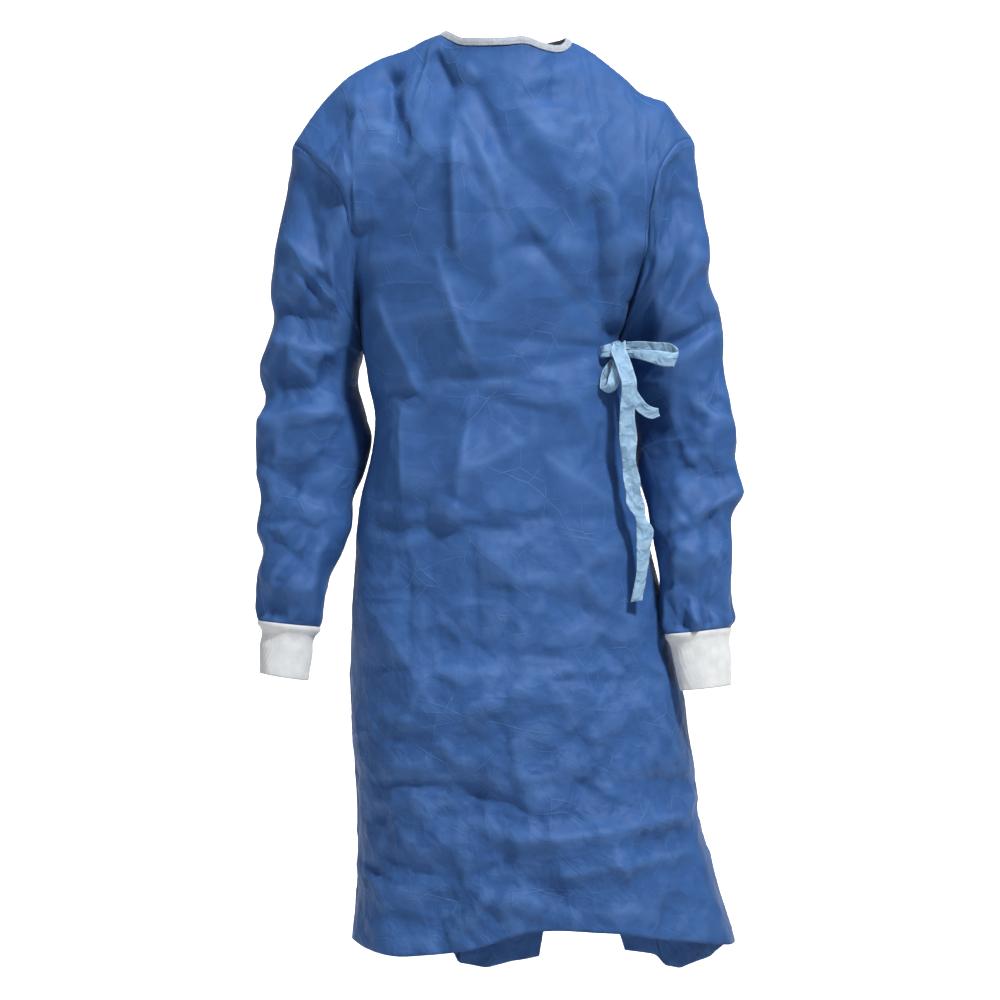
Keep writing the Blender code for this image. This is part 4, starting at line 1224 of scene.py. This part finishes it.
def back_shell(name, node, side, hem, step_phi, seed):
    """One back panel, from the side seam round to the free edge of its flap."""
    start = SIDE_PHI - SEAM_TUCK_PHI
    columns = flap_columns(side)
    step = (step_phi - start) / (flap_reach(side, HEM_DROP) - start)
    nearest = np.argmin(np.abs(columns - step))
    columns[nearest] = step
    columns = np.insert(columns, nearest + 1, step + HEM_STEP_SHARE)

    def phi_at(shares, drop):
        return side * (start + shares * (flap_reach(side, drop) - start))

    points = panel(phi_at, hem, columns)
    drops = row_drops()[:, None]
    phi = phi_at(columns[None, :], drops)
    if side < 0:
        points = points[:, ::-1]
        phi = phi[:, ::-1]
        points = points + flat_normals(points) * flap_lift(phi, drops)[..., None]
    places = cloth_places(points)
    places[..., 1] = -points[..., 2]
    seam = 0 if side > 0 else -1
    seams, soft = seam_work(points, places, (seam,), seed)
    flat = warped(points[..., [0, 2]], seed + 1)
    rows = BACK_CREASES + tuple(scattered(BACK_PATCHES, seed + 2))
    facing = front_facing(points)
    fine = crease_height(flat, rows) + crumple(flat, BACK_PLANE, BODY_SLOPE, 47) * facing
    small = crumple(warped(places, seed + 4), SMALL_PLANE, BACK_SMALL_SLOPE, seed + 5)
    fine += small * ramp(drops, *BACK_CRUMPLED_FROM) * facing
    lap = ramp(np.abs(phi) - (360 - flap_reach(-side, drops)), *LAP_RANGE)
    near_arm = (1 - ramp(np.abs(phi), *ARM_PHI_RANGE)) * ramp(drops, *ARM_FROM) * (1 - ramp(drops, *ARM_TO))
    held = np.maximum(lap, near_arm)
    fine = fine * (1 - held) + limited(fine, LAP_LIMIT) * held
    fine *= 1 - ramp(np.abs(phi), *NAPE_PHI_RANGE) * (1 - ramp(drops, *NAPE_TO))
    free = places[:, -1 if side > 0 else 0, 0][:, None]
    edge_band = HEM_STEP * (1 - ramp(np.abs(places[..., 0] - free), FLAP_BAND - 0.001, FLAP_BAND + 0.001))
    height = fine * soft + seams + (hem_work(points, HEM_BAND) + edge_band) * (side < 0)
    points = raised(points, height)
    piece = shell(name, points, places, crease_shading_of(fine + seams), GOWN_SHELL)
    stand_for(piece, GOWN, node)


def sleeve_grid(side, rings):
    """The points of a sleeve, and the turn and the distance down it at each."""
    turns = np.arange(SLEEVE_SIDES) * 360 / SLEEVE_SIDES - 180
    start = armhole_edge(side, turns)
    keys = np.array([start] + [ring_points(ring, turns) for ring in rings])
    heading = (keys[1] - start) / np.linalg.norm(keys[1] - start, axis=1, keepdims=True)
    keys[0] = start - heading * SEAM_TUCK
    run = run_along(keys.mean(axis=1))
    down = np.linspace(0, run[-1], SLEEVE_ROWS + 1)
    points = np.stack([smooth(down, run, keys[:, i]) for i in range(SLEEVE_SIDES)], axis=1)
    if side > 0:
        points = points[:, ::-1]
        turns = turns[::-1]
    return points, turns, down


def sleeve_shell(name, node, side, rings, creases, seed):
    points, turns, down = sleeve_grid(side, rings)
    places = cloth_places(points, closed=True)
    normals = normals_of(points, closed=True)
    down = np.broadcast_to(down[:, None], points.shape[:2])
    places[..., 1] = down[:, :1]
    left = down[-1:] - down
    around = np.linalg.norm(np.diff(places[:, [0, -1], 0], axis=1), axis=1).mean()
    flat = warped(points[..., [0, 2]], seed)
    middle = points[..., 0].mean()
    front = SLEEVE_CREASE_DEPTH * crease_height(flat, creases) * ramp(-normals[..., 1], -0.15, 0.35)
    back = crease_height(flat, echoed(creases, middle, 0.03, 0.8)) * ramp(normals[..., 1], -0.15, 0.35)
    turned = np.broadcast_to(turns[None, :] / 360 * around, down.shape)
    flat = warped(np.stack([turned, down], axis=-1), seed + 3)
    flat[..., 0] -= around / 2
    fine = front + back + crease_height(flat, scattered(SLEEVE_PATCHES, seed + 5), around)
    facing = front_facing(points, closed=True)
    fine += crumple(flat, SLEEVE_PLANE, SLEEVE_SLOPE, seed + 12, around) * facing
    fine += crumple(flat, SLEEVE_SMALL_PLANE, SLEEVE_SMALL_SLOPE, seed + 13, around) * facing
    inner = ramp(np.cos(np.radians(turns)), -0.25, -0.75)[None, :] * (1 - ramp(down, 0.42, 0.50))
    fine = fine * (1 - inner) + limited(fine, SIDE_LIMIT) * inner
    uneven = 1 + 0.5 * wander(np.stack([turned, down], axis=-1), 0.05, seed + 7)
    gather = GATHER_HEIGHT * uneven * np.sin(np.radians(turns) * GATHER_COUNT + 2.5 * uneven) \
        * np.exp(-left / GATHER_REACH) * ramp(left, 0, 0.006)
    cap = CAP_GATHER_HEIGHT * uneven * np.sin(np.radians(turns) * CAP_GATHER_COUNT + 2.0 * uneven) \
        * np.exp(-down / CAP_GATHER_REACH) * ramp(down, 0, 0.005)
    bulge = GATHER_HEIGHT * np.exp(-((left - 0.012) / 0.010) ** 2)
    seams = pinch(down) + pinch(left) * 0.5
    height = fine * ramp(down, 0, SEAM_FADE) * ramp(left, 0, SEAM_FADE) + gather + cap + bulge + seams
    points = points + normals * height[..., None]
    piece = shell(name, points, places, crease_shading_of(fine + gather + cap), GOWN_SHELL, closed=True)
    stand_for(piece, GOWN, node)


def cuff_shell(name, node, side, rings, seed):
    """A ribbed tube with a rolled seam at its top and a turned edge below."""
    turns = np.arange(CUFF_SIDES) * 360 / CUFF_SIDES
    keys = np.array([ring_points(ring, turns) for ring in rings])
    run = run_along(keys.mean(axis=1))
    down = np.linspace(0, run[-1], CUFF_ROWS + 1)
    points = np.stack([smooth(down, run, keys[:, i]) for i in range(CUFF_SIDES)], axis=1)
    if side > 0:
        points = points[:, ::-1]
        turns = turns[::-1]
    places = cloth_places(points, closed=True)
    down = down[:, None]
    ribs = RIB_HEIGHT * np.cos(np.radians(turns) * RIB_COUNT)[None, :] * ramp(down, 0.004, 0.009)
    roll = ROLL_HEIGHT * np.exp(-(((down - 0.0035) / (ROLL_WIDTH / 2)) ** 2))
    lip = ROLL_HEIGHT * 0.5 * ramp(down, run[-1] - 0.004, run[-1])
    turned = np.stack([np.broadcast_to(turns[None, :] / 1500, (len(down), len(turns))),
                       np.broadcast_to(down, (len(down), len(turns)))], axis=-1)
    uneven = 0.0010 * wander(turned, 0.020, seed)
    height = ribs + roll - lip + uneven * ramp(down, 0, 0.01)
    points = raised(points, height, closed=True)
    piece = shell(name, points, places, np.zeros_like(height), KNIT_SHELL, closed=True)
    stand_for(piece, KNIT, node)


def binding_shell():
    """The folded strip along the neck, drawn in by its two rows of stitches."""
    end = float(neck_angle(flap_reach(1, 0.0)))
    angles = np.linspace(-end, end, BINDING_COLUMNS + 1)
    low = neck_edge(angles)
    turn = np.radians(angles)
    out = np.stack([np.sin(turn), -np.cos(turn), np.zeros(len(turn))], axis=-1)
    lift = FLAP_LIFT * ramp(-angles, 100, 360 - end - 12)
    low = low + out * (lift + BINDING_CLOTH / 4)[:, None]
    aside = (np.abs(turn_between(np.abs(angles), 90)) / BINDING_SIDE_SPAN) ** 2
    lean = np.radians(BINDING_LEAN + (BINDING_SIDE_LEAN - BINDING_LEAN) * np.exp(-aside))
    high = low - out * (BINDING_HEIGHT * np.sin(lean))[:, None]
    high[:, 2] += BINDING_HEIGHT * np.cos(lean)
    share = np.linspace(0, 1, BINDING_ROWS + 1)[:, None, None]
    points = high[None] + (low - high)[None] * share
    places = cloth_places(points)
    down = places[..., 1]
    run = places[..., 0]
    rows = sum(np.exp(-(((down - row) / STITCH_GROOVE_WIDTH) ** 2)) for row in STITCH_ROWS)
    pull = 0.6 + 0.4 * np.sin(2 * math.pi * run / STITCH_PITCH)
    swell = BINDING_SWELL * np.sin(math.pi * np.clip(down / BINDING_HEIGHT, 0, 1))
    crumple = 0.0004 * wander(places, 0.012, 5) + 0.0003 * wander(places, 0.005, 6)
    height = swell + crumple - STITCH_GROOVE_DEPTH * rows * pull
    points = raised(points, height)
    piece = shell("neck_binding_shell", points, places, crease_shading_of(height), BINDING_SHELL, offset=0.0)
    stand_for(piece, BINDING, "neck_binding",
              with_pieces=[stitch_rows(points, normals_of(points))])


def stitch_rows(points, normals):
    """Short stitches along the two rows of the binding, joined as one piece."""
    threads = bmesh.new()
    run = run_along(points[0])
    for row in STITCH_ROWS:
        share = row / BINDING_HEIGHT * BINDING_ROWS
        upper = int(share)
        line = points[upper] + (points[upper + 1] - points[upper]) * (share - upper)
        line = line + normals[upper] * (BINDING_SHELL / 2 + 0.0001)
        for start in np.arange(0.004, run[-1] - 0.006, STITCH_PITCH):
            ends = [smooth(start + k * STITCH_LENGTH, run, line) for k in (0, 1)]
            middle = Vector((ends[0] + ends[1]) / 2)
            along = Vector(ends[1] - ends[0])
            made = bmesh.ops.create_icosphere(threads, subdivisions=1, radius=1.0)["verts"]
            shape = Matrix.Translation(middle) @ along.to_track_quat("X", "Z").to_matrix().to_4x4() \
                @ Matrix.Diagonal((STITCH_LENGTH / 2, THREAD_RADIUS, THREAD_RADIUS, 1))
            bmesh.ops.transform(threads, matrix=shape, verts=made)
    mesh = bpy.data.meshes.new("neck_stitches")
    threads.to_mesh(mesh)
    threads.free()
    mesh.shade_smooth()
    mesh.materials.append(THREAD)
    piece = placed("neck_stitches", mesh)
    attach(piece, "root")
    return piece


def tape_shell():
    """The closing tape over the edge of the outer flap, just under the neck seam."""
    phi = -np.linspace(TAPE_TO, TAPE_FROM, 41)
    beyond = ramp(-phi, TAPE_STEP, TAPE_TO - 1)
    points = np.array([chest(phi, share) for share in np.linspace(TAPE_TOP, TAPE_BOTTOM, 19)])
    lift = FLAP_LIFT * (1 - beyond) + TAPE_LIFT + TIE_CLOTH
    points = points + flat_normals(points) * lift[None, :, None]
    places = cloth_places(points)
    height = 0.0002 * wander(places, 0.008, 3)
    points = raised(points, height)
    piece = shell("nape_tape_shell", points, places, np.zeros_like(height), TIE_SHELL)
    stand_for(piece, TIE, "nape_tape")


def belt_shell():
    """The stretch of the tie from the outer flap's edge round the side to the knot."""
    phi = np.linspace(BELT_FROM, BELT_TO, 121)
    gather = 1 - 0.45 * ramp(-phi, -BELT_TO - 14, -BELT_TO)
    rise = ramp(phi, BELT_FROM - BELT_END_SPAN, BELT_FROM - 4)
    out = BELT_LIFT + (BELT_END_LIFT - BELT_LIFT) * rise
    rows = []
    for share in np.linspace(1, -1, 13):
        drop = BELT_DROP - share * BELT_HALF_WIDTH * gather
        x, y = body_xy(phi, drop)
        turn = np.radians(phi)
        rows.append(np.stack([x + out * np.sin(turn), y - out * np.cos(turn), -drop], axis=-1))
    points = np.array(rows)[:, ::-1]
    places = cloth_places(points)
    ruck = 0.0007 * np.sin(2 * math.pi * places[..., 1] / 0.0055) * ramp(places[..., 0], -0.02, 0.06)
    height = 0.0004 * wander(places, 0.015, 8) + ruck
    points = raised(points, -height)
    piece = shell("belt_shell", points, places, crease_shading_of(height), TIE_SHELL, offset=0.0)
    stand_for(piece, TIE, "belt")


def ribbon_shell(name, node, stations, rows, seed, creases):
    """A stretch of tie ribbon: slightly cupped, with crossing creases and curled edges."""
    line = np.array(stations)
    run = run_along(line[:, :3])
    down = np.linspace(0, run[-1], rows + 1)
    at = smooth(down, run, line)
    share = np.linspace(-1, 1, RIBBON_COLUMNS + 1)
    points = at[:, None, :3] + at[:, None, 3:] * share[None, :, None]
    places = cloth_places(points)
    normals = normals_of(points)
    draw = np.random.default_rng(seed)
    height = RIBBON_CUP * (share[None, :] ** 2 - 0.4) * (1 + wander(places, 0.05, seed))
    patch = Patch(-0.011, 0.0, 0.011, run[-1], creases, 0.022, 0.0011, 0.0032, 0, 60)
    height += crease_height(places, scattered((patch,), seed))
    height += RIBBON_RIPPLE * wander(places, 0.018, seed + 1) * ramp(down, 0, 0.01)[:, None]
    tuck = 1 - 0.25 * np.exp(-((down - draw.uniform(0.3, 0.7) * run[-1]) / 0.012) ** 2)
    points = at[:, None, :3] + (points - at[:, None, :3]) * tuck[:, None, None]
    points = points + normals * height[..., None]
    piece = shell(name, points, places, crease_shading_of(height), TIE_SHELL, offset=0.0)
    stand_for(piece, TIE, node)


def knot_shell():
    """The knot: a folded lump inside, and one turn of the ribbon drawn tight round it."""
    turns = np.linspace(0, 2 * math.pi, KNOT_SIDES, endpoint=False)
    levels = np.linspace(-math.pi / 2 + 0.05, math.pi / 2 - 0.05, KNOT_LEVELS)[::-1, None]
    ball = np.stack([np.cos(levels) * np.cos(turns), np.cos(levels) * np.sin(turns),
                     np.sin(levels) * np.ones(KNOT_SIDES)], axis=-1)
    folds = 1 + 0.07 * np.cos(5 * turns + 3 * levels) + 0.05 * np.cos(9 * turns - 4 * levels)
    points = np.array(KNOT_PLACE) + ball * folds[..., None] * np.array(KNOT_RADII)
    places = cloth_places(points, closed=True)
    # The lump's folds and the band's pleats set where the tie material paints highlights
    lump = shell("tie_knot_lump", points, places, folds - 1, TIE_SHELL, closed=True)
    lump.data.materials.append(TIE)
    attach(lump, "root")
    width = np.linspace(-1, 1, 15)[:, None]
    pleat = 0.05 * np.cos(2 * math.pi * width * 2.5 + 0.6 * np.sin(turns)) + 0.03 * np.cos(turns * 2)
    swell = 1.06 + pleat - 0.10 * width**2
    band = np.stack([np.cos(turns) * swell, width * 0.62 * np.ones(KNOT_SIDES), np.sin(turns) * swell], axis=-1)
    band = band[..., [0, 2, 1]][:, ::-1]
    tilt = np.array(Matrix.Rotation(KNOT_TILT, 3, "Y"))
    points = np.array(KNOT_PLACE) + (band * np.array(KNOT_RADII)) @ tilt.T
    places = cloth_places(points, closed=True)
    piece = shell("tie_knot_shell", points, places, pleat[:, ::-1] * 6, TIE_SHELL, closed=True)
    stand_for(piece, TIE, "tie_knot",
              with_pieces=[lump])


class Tree:
    """A material's node tree, with short ways to add nodes and links."""

    def __init__(self, name):
        self.material = bpy.data.materials.new(name)
        self.material.use_nodes = True
        self.nodes = self.material.node_tree.nodes
        self.links = self.material.node_tree.links
        self.shader = self.nodes["Principled BSDF"]

    def add(self, kind, settings=None, **inputs):
        made = self.nodes.new("ShaderNode" + kind)
        for key, value in (settings or {}).items():
            setattr(made, key, value)
        for key, value in inputs.items():
            self.set(made.inputs[key.replace("_", " ")], value)
        return made

    def set(self, socket, value):
        if isinstance(value, bpy.types.NodeSocket):
            self.links.new(value, socket)
        else:
            socket.default_value = value

    def math(self, operation, first, second=0.0):
        made = self.add("Math", {"operation": operation})
        self.set(made.inputs[0], first)
        self.set(made.inputs[1], second)
        return made.outputs[0]

    def places(self, stretch=(1, 1, 1)):
        """The cloth's own coordinates in metres, stretched."""
        flat = self.add("UVMap", {"uv_map": "cloth"}).outputs["UV"]
        return self.add("Mapping", Vector=flat, Scale=stretch).outputs["Vector"]

    def noise(self, places, scale, detail=3.0, roughness=0.55, distortion=0.0, kind="FBM"):
        return self.add("TexNoise", {"noise_type": kind}, Vector=places, Scale=scale, Detail=detail,
                        Roughness=roughness, Distortion=distortion).outputs[0]

    def colours(self, factor, stops):
        made = self.add("ValToRGB", Fac=factor)
        band = made.color_ramp
        while len(band.elements) < len(stops):
            band.elements.new(1.0)
        for element, (place, colour) in zip(band.elements, stops):
            element.position = place
            element.color = (*colour, 1)
        return made.outputs["Color"]

    def blend(self, factor, first, second, kind="MIX"):
        made = self.add("Mix", {"data_type": "RGBA", "blend_type": kind})
        self.set(made.inputs[0], factor)
        self.set(made.inputs[6], first)
        self.set(made.inputs[7], second)
        return made.outputs[2]

    def bent(self, places, scale, reach):
        """The places moved about by noise, so that no pattern on them runs straight."""
        aside = self.add("TexNoise", Vector=places, Scale=scale, Detail=2.0).outputs["Color"]
        centred = self.add("VectorMath", {"operation": "SUBTRACT"})
        self.set(centred.inputs[0], aside)
        self.set(centred.inputs[1], (0.5, 0.5, 0.5))
        moved = self.add("VectorMath", {"operation": "MULTIPLY_ADD"})
        self.set(moved.inputs[0], centred.outputs[0])
        self.set(moved.inputs[1], (reach, reach, reach))
        self.set(moved.inputs[2], places)
        return moved.outputs[0]

    def facets(self, places, scale, metric="CHEBYCHEV"):
        """The height of crumpled cloth: flat facets that meet in creases."""
        return self.add("TexVoronoi", {"distance": metric, "feature": "F1"}, Vector=places, Scale=scale,
                        Randomness=1.0).outputs["Distance"]

    def lines(self, places, scale, width):
        """Thin broken lines along the edges between cells, 1 on a line and 0 beside it."""
        kind = {"voronoi_dimensions": "2D", "feature": "DISTANCE_TO_EDGE"}
        edge = self.add("TexVoronoi", kind, Vector=places, Scale=scale, Randomness=1.0).outputs["Distance"]
        line = self.add("MapRange", {"interpolation_type": "SMOOTHSTEP"}, Value=edge, From_Min=0.0,
                        From_Max=width, To_Min=1.0, To_Max=0.0).outputs[0]
        patches = self.noise(places, 14, 2, 0.5)
        kept = self.add("MapRange", Value=patches, From_Min=0.47, From_Max=0.60).outputs[0]
        return self.math("MULTIPLY", line, kept)

    def layered(self, layers):
        """The heights of several layers added up, each with its own depth in metres."""
        total = 0.0
        for height, depth in layers:
            total = self.math("ADD", total, self.math("MULTIPLY", height, depth))
        return total

    def bump(self, height, distance, strength=1.0, below=None):
        made = self.add("Bump", Height=height, Distance=distance, Strength=strength)
        if below is not None:
            self.set(made.inputs["Normal"], below)
        return made.outputs["Normal"]

    def crease_shading(self, share):
        """The crests of the cloth times a share, as a mask for painted highlights; for a share below 0, its
        troughs, as a mask for painted shade.
        """
        crease_mask = self.math("MULTIPLY", self.add("Attribute", {"attribute_name": "crease_shading"}).outputs["Fac"], share)
        return self.math("MAXIMUM", crease_mask, 0.0)

    def finish(self, **inputs):
        for key, value in inputs.items():
            self.set(self.shader.inputs[key.replace("_", " ")], value)
        return self.material


def gown_material():
    """Thin blue nonwoven: pressed fibres, a grid of bond points, a fine crinkle, and painted highlights on the
    crests and along thin crease lines.
    """
    tree = Tree("gown_nonwoven")
    flat = tree.places()
    fibres = tree.noise(tree.places((1, 0.22, 1)), 900, 4, 0.65)
    clouds = tree.noise(flat, 26, 4, 0.6)
    bent = tree.bent(flat, 12, 0.026)
    wide = tree.facets(bent, 8)
    middle = tree.facets(bent, 19, "EUCLIDEAN")
    lines = tree.math("MAXIMUM", tree.lines(bent, 19, 0.024), tree.lines(bent, 8, 0.011))
    small = tree.facets(tree.bent(flat, 30, 0.010), 52)
    crinkle = tree.noise(flat, 90, 4, 0.6, 0.5)
    down = tree.add("SeparateXYZ", Vector=flat).outputs["Y"]
    lower = tree.add("MapRange", Value=down, From_Min=0.50, From_Max=1.0, To_Min=0.15, To_Max=1.0).outputs[0]
    dots = tree.add("TexVoronoi", {"voronoi_dimensions": "2D"}, Vector=flat, Scale=620,
                    Randomness=0.15).outputs["Distance"]
    base = tree.colours(clouds, ((0.25, GOWN_DARK), (0.55, GOWN_MIDDLE), (0.85, GOWN_LIGHT)))
    fibred = tree.blend(tree.math("MULTIPLY", fibres, 0.16), base, (*GOWN_FIBRE_AND_HIGHLIGHT, 1))
    # Painted highlights: crests and thin crease lines lightened towards the fibre colour
    crest = tree.math("MAXIMUM", tree.crease_shading(GOWN_CREST_HIGHLIGHT), tree.math("MULTIPLY", lines, GOWN_LINE_HIGHLIGHT))
    coloured = tree.blend(crest, fibred, (*GOWN_FIBRE_AND_HIGHLIGHT, 1))
    folds = tree.math("MULTIPLY", tree.layered(((middle, 0.0080), (small, 0.0030))), lower)
    height = tree.layered(((wide, 0.0150), (folds, 1.0), (lines, 0.00045), (crinkle, 0.00040),
                           (dots, 0.000084), (fibres, 0.000060)))
    normal = tree.bump(height, 1.0)
    roughness = tree.math("ADD", tree.math("MULTIPLY", fibres, 0.18), 0.50)
    return tree.finish(Base_Color=coloured, Roughness=roughness, Normal=normal, Sheen_Weight=0.05,
                       Sheen_Tint=GOWN_SHEEN, Sheen_Roughness=0.45, Specular_IOR_Level=0.14)


def tie_material():
    """The ties' paler nonwoven, with long fibres along the ribbon and painted highlights on its crests."""
    tree = Tree("tie_nonwoven")
    flat = tree.places()
    fibres = tree.noise(tree.places((1, 0.15, 1)), 800, 4, 0.65)
    clouds = tree.noise(flat, 55, 3, 0.55)
    crinkle = tree.noise(flat, 190, 4, 0.6, 0.5)
    folds = tree.facets(tree.bent(flat, 40, 0.012), 70)
    base = tree.colours(clouds, ((0.3, TIE_DARK), (0.7, TIE_LIGHT)))
    # Painted highlight on the ribbon's crests
    coloured = tree.blend(tree.crease_shading(0.5), base, (*TIE_CREST_HIGHLIGHT, 1))
    normal = tree.bump(folds, 0.0050, 1.0)
    normal = tree.bump(crinkle, 0.0008, 0.5, normal)
    normal = tree.bump(fibres, 0.00012, 0.6, normal)
    roughness = tree.math("ADD", tree.math("MULTIPLY", fibres, 0.2), 0.48)
    return tree.finish(Base_Color=coloured, Roughness=roughness, Normal=normal, Sheen_Weight=0.08,
                       Sheen_Roughness=0.4, Specular_IOR_Level=0.20)


def knit_material():
    """Off-white rib knit: rows of loops across the ribs, soft fuzz, and painted shade between the ribs."""
    tree = Tree("cuff_knit")
    flat = tree.places()
    courses = tree.add("TexWave", {"bands_direction": "Y", "wave_type": "BANDS"}, Vector=flat, Scale=320,
                       Distortion=0.6, Detail=1.0).outputs["Fac"]
    wales = tree.add("TexWave", {"bands_direction": "X", "wave_type": "BANDS"}, Vector=flat, Scale=210,
                     Distortion=0.3, Detail=1.0).outputs["Fac"]
    fuzz = tree.noise(flat, 1400, 3, 0.7)
    clouds = tree.noise(flat, 60, 3, 0.5)
    base = tree.colours(clouds, ((0.3, KNIT_DARK), (0.7, KNIT_LIGHT)))
    # Painted shade in the grooves between the ribs
    shaded = tree.blend(tree.math("MULTIPLY", tree.math("SUBTRACT", 1.0, wales), 0.22), base, (*KNIT_GROOVE_SHADE, 1))
    normal = tree.bump(wales, 0.0004, 0.6)
    normal = tree.bump(courses, 0.0003, 0.4, normal)
    normal = tree.bump(fuzz, 0.00015, 0.6, normal)
    return tree.finish(Base_Color=shaded, Roughness=0.9, Normal=normal, Sheen_Weight=0.35,
                       Sheen_Roughness=0.5)


def binding_material():
    """The binding's pale strip, with painted shade in its stitched grooves."""
    tree = Tree("binding_strip")
    flat = tree.places()
    fibres = tree.noise(tree.places((0.3, 1, 1)), 900, 4, 0.6)
    clouds = tree.noise(flat, 120, 3, 0.6)
    weave = tree.add("TexVoronoi", Vector=flat, Scale=900, Randomness=0.2).outputs["Distance"]
    base = tree.colours(clouds, ((0.3, BINDING_DARK), (0.7, BINDING_LIGHT)))
    # Painted shade in the stitched grooves and troughs
    coloured = tree.blend(tree.crease_shading(-0.45), base, (*BINDING_GROOVE_SHADE, 1))
    normal = tree.bump(fibres, 0.00015, 0.6)
    normal = tree.bump(weave, 0.00010, 0.5, normal)
    return tree.finish(Base_Color=coloured, Roughness=0.75, Normal=normal, Sheen_Weight=0.2)


def thread_material():
    tree = Tree("white_thread")
    twist = tree.add("TexNoise", Vector=tree.add("TexCoord").outputs["Object"], Scale=2600, Detail=2).outputs[0]
    base = tree.colours(twist, ((0.3, THREAD_DARK), (0.7, THREAD_LIGHT)))
    return tree.finish(Base_Color=base, Roughness=0.6, Normal=tree.bump(twist, 0.0001, 0.5))


def floor_material():
    tree = Tree("studio_floor")
    grain = tree.add("TexNoise", Vector=tree.add("TexCoord").outputs["Object"], Scale=40, Detail=3).outputs[0]
    base = tree.colours(grain, ((0.0, FLOOR_DARK), (1.0, FLOOR_LIGHT)))
    return tree.finish(Base_Color=base, Roughness=0.9)


def studio():
    """A pale floor that curves up behind the gown, and soft lights."""
    turns = np.radians(np.linspace(0, 90, 25))
    curve = np.stack([np.sin(turns), 1 - np.cos(turns)], axis=-1) * SWEEP_RADIUS
    far = SWEEP_BACK + SWEEP_RADIUS
    side = np.concatenate([[[-SWEEP_FRONT, 0]], curve + [SWEEP_BACK, 0], [[far, SWEEP_TOP]]])
    mesh = bpy.data.meshes.new("studio_floor")
    verts = [(x, y, FLOOR_Z + z) for y, z in side for x in (-SWEEP_HALF_WIDTH, SWEEP_HALF_WIDTH)]
    faces = [(2 * i, 2 * i + 1, 2 * i + 3, 2 * i + 2) for i in range(len(side) - 1)]
    mesh.from_pydata(verts, [], faces)
    mesh.shade_smooth()
    mesh.materials.append(floor_material())
    placed("studio_floor", mesh)
    for lamp in LAMPS:
        light = bpy.data.lights.new(lamp.name, "AREA")
        light.shape = "DISK"
        light.size = lamp.size
        light.energy = lamp.watts
        light.color = (lamp.red, lamp.green, lamp.blue)
        holder = placed(lamp.name, light)
        holder.location = (lamp.x, lamp.y, lamp.z)
        aim = Vector(SWEEP_AIM if lamp.name == "sweep" else AIM)
        holder.rotation_euler = (aim - holder.location).to_track_quat("-Z", "Y").to_euler()
        holder.visible_camera = False
    world = bpy.data.worlds.new("studio_world")
    world.use_nodes = True
    world.node_tree.nodes["Background"].inputs["Color"].default_value = (*WORLD_COLOUR, 1)
    world.node_tree.nodes["Background"].inputs["Strength"].default_value = WORLD_STRENGTH
    bpy.context.scene.world = world
    bpy.context.scene.view_settings.view_transform = "Standard"


def camera():
    lens = bpy.data.cameras.new("camera")
    lens.lens = CAMERA_LENS
    lens.sensor_width = CAMERA_SENSOR
    holder = placed("camera", lens)
    holder.location = CAMERA_PLACE
    holder.rotation_euler = (math.radians(90), 0, 0)
    bpy.context.scene.camera = holder


def gown():
    front_shell()
    back_shell("back_panel_left_shell", "back_panel_left", 1, HEM_BACK_LEFT, 145.5, 51)
    back_shell("back_panel_right_shell", "back_panel_right", -1, HEM_BACK_RIGHT, 154.8, 61)
    sleeve_shell("sleeve_right_arm_shell", "sleeve_right_arm", -1, SLEEVE_RINGS_RIGHT_ARM,
                 SLEEVE_CREASES_RIGHT_ARM, 71)
    sleeve_shell("sleeve_left_arm_shell", "sleeve_left_arm", 1, SLEEVE_RINGS_LEFT_ARM,
                 SLEEVE_CREASES_LEFT_ARM, 81)
    cuff_shell("cuff_right_arm_shell", "cuff_right_arm", -1, CUFF_RINGS_RIGHT_ARM, 91)
    cuff_shell("cuff_left_arm_shell", "cuff_left_arm", 1, CUFF_RINGS_LEFT_ARM, 101)
    binding_shell()
    tape_shell()
    belt_shell()
    knot_shell()
    ribbon_shell("tie_root_shell", "tie_root", TIE_ROOT, 24, 111, 2)
    ribbon_shell("tie_loop_side_shell", "tie_loop_side", LOOP_SIDE, 90, 121, 9)
    ribbon_shell("tie_loop_lower_shell", "tie_loop_lower", LOOP_LOWER, 70, 131, 7)
    ribbon_shell("tie_tail_long_shell", "tie_tail_long", TAIL_LONG, 180, 141, 24)
    ribbon_shell("tie_tail_short_shell", "tie_tail_short", TAIL_SHORT, 70, 151, 7)


GOWN = gown_material()
TIE = tie_material()
KNIT = knit_material()
BINDING = binding_material()
THREAD = thread_material()
camera()
studio()
gown()
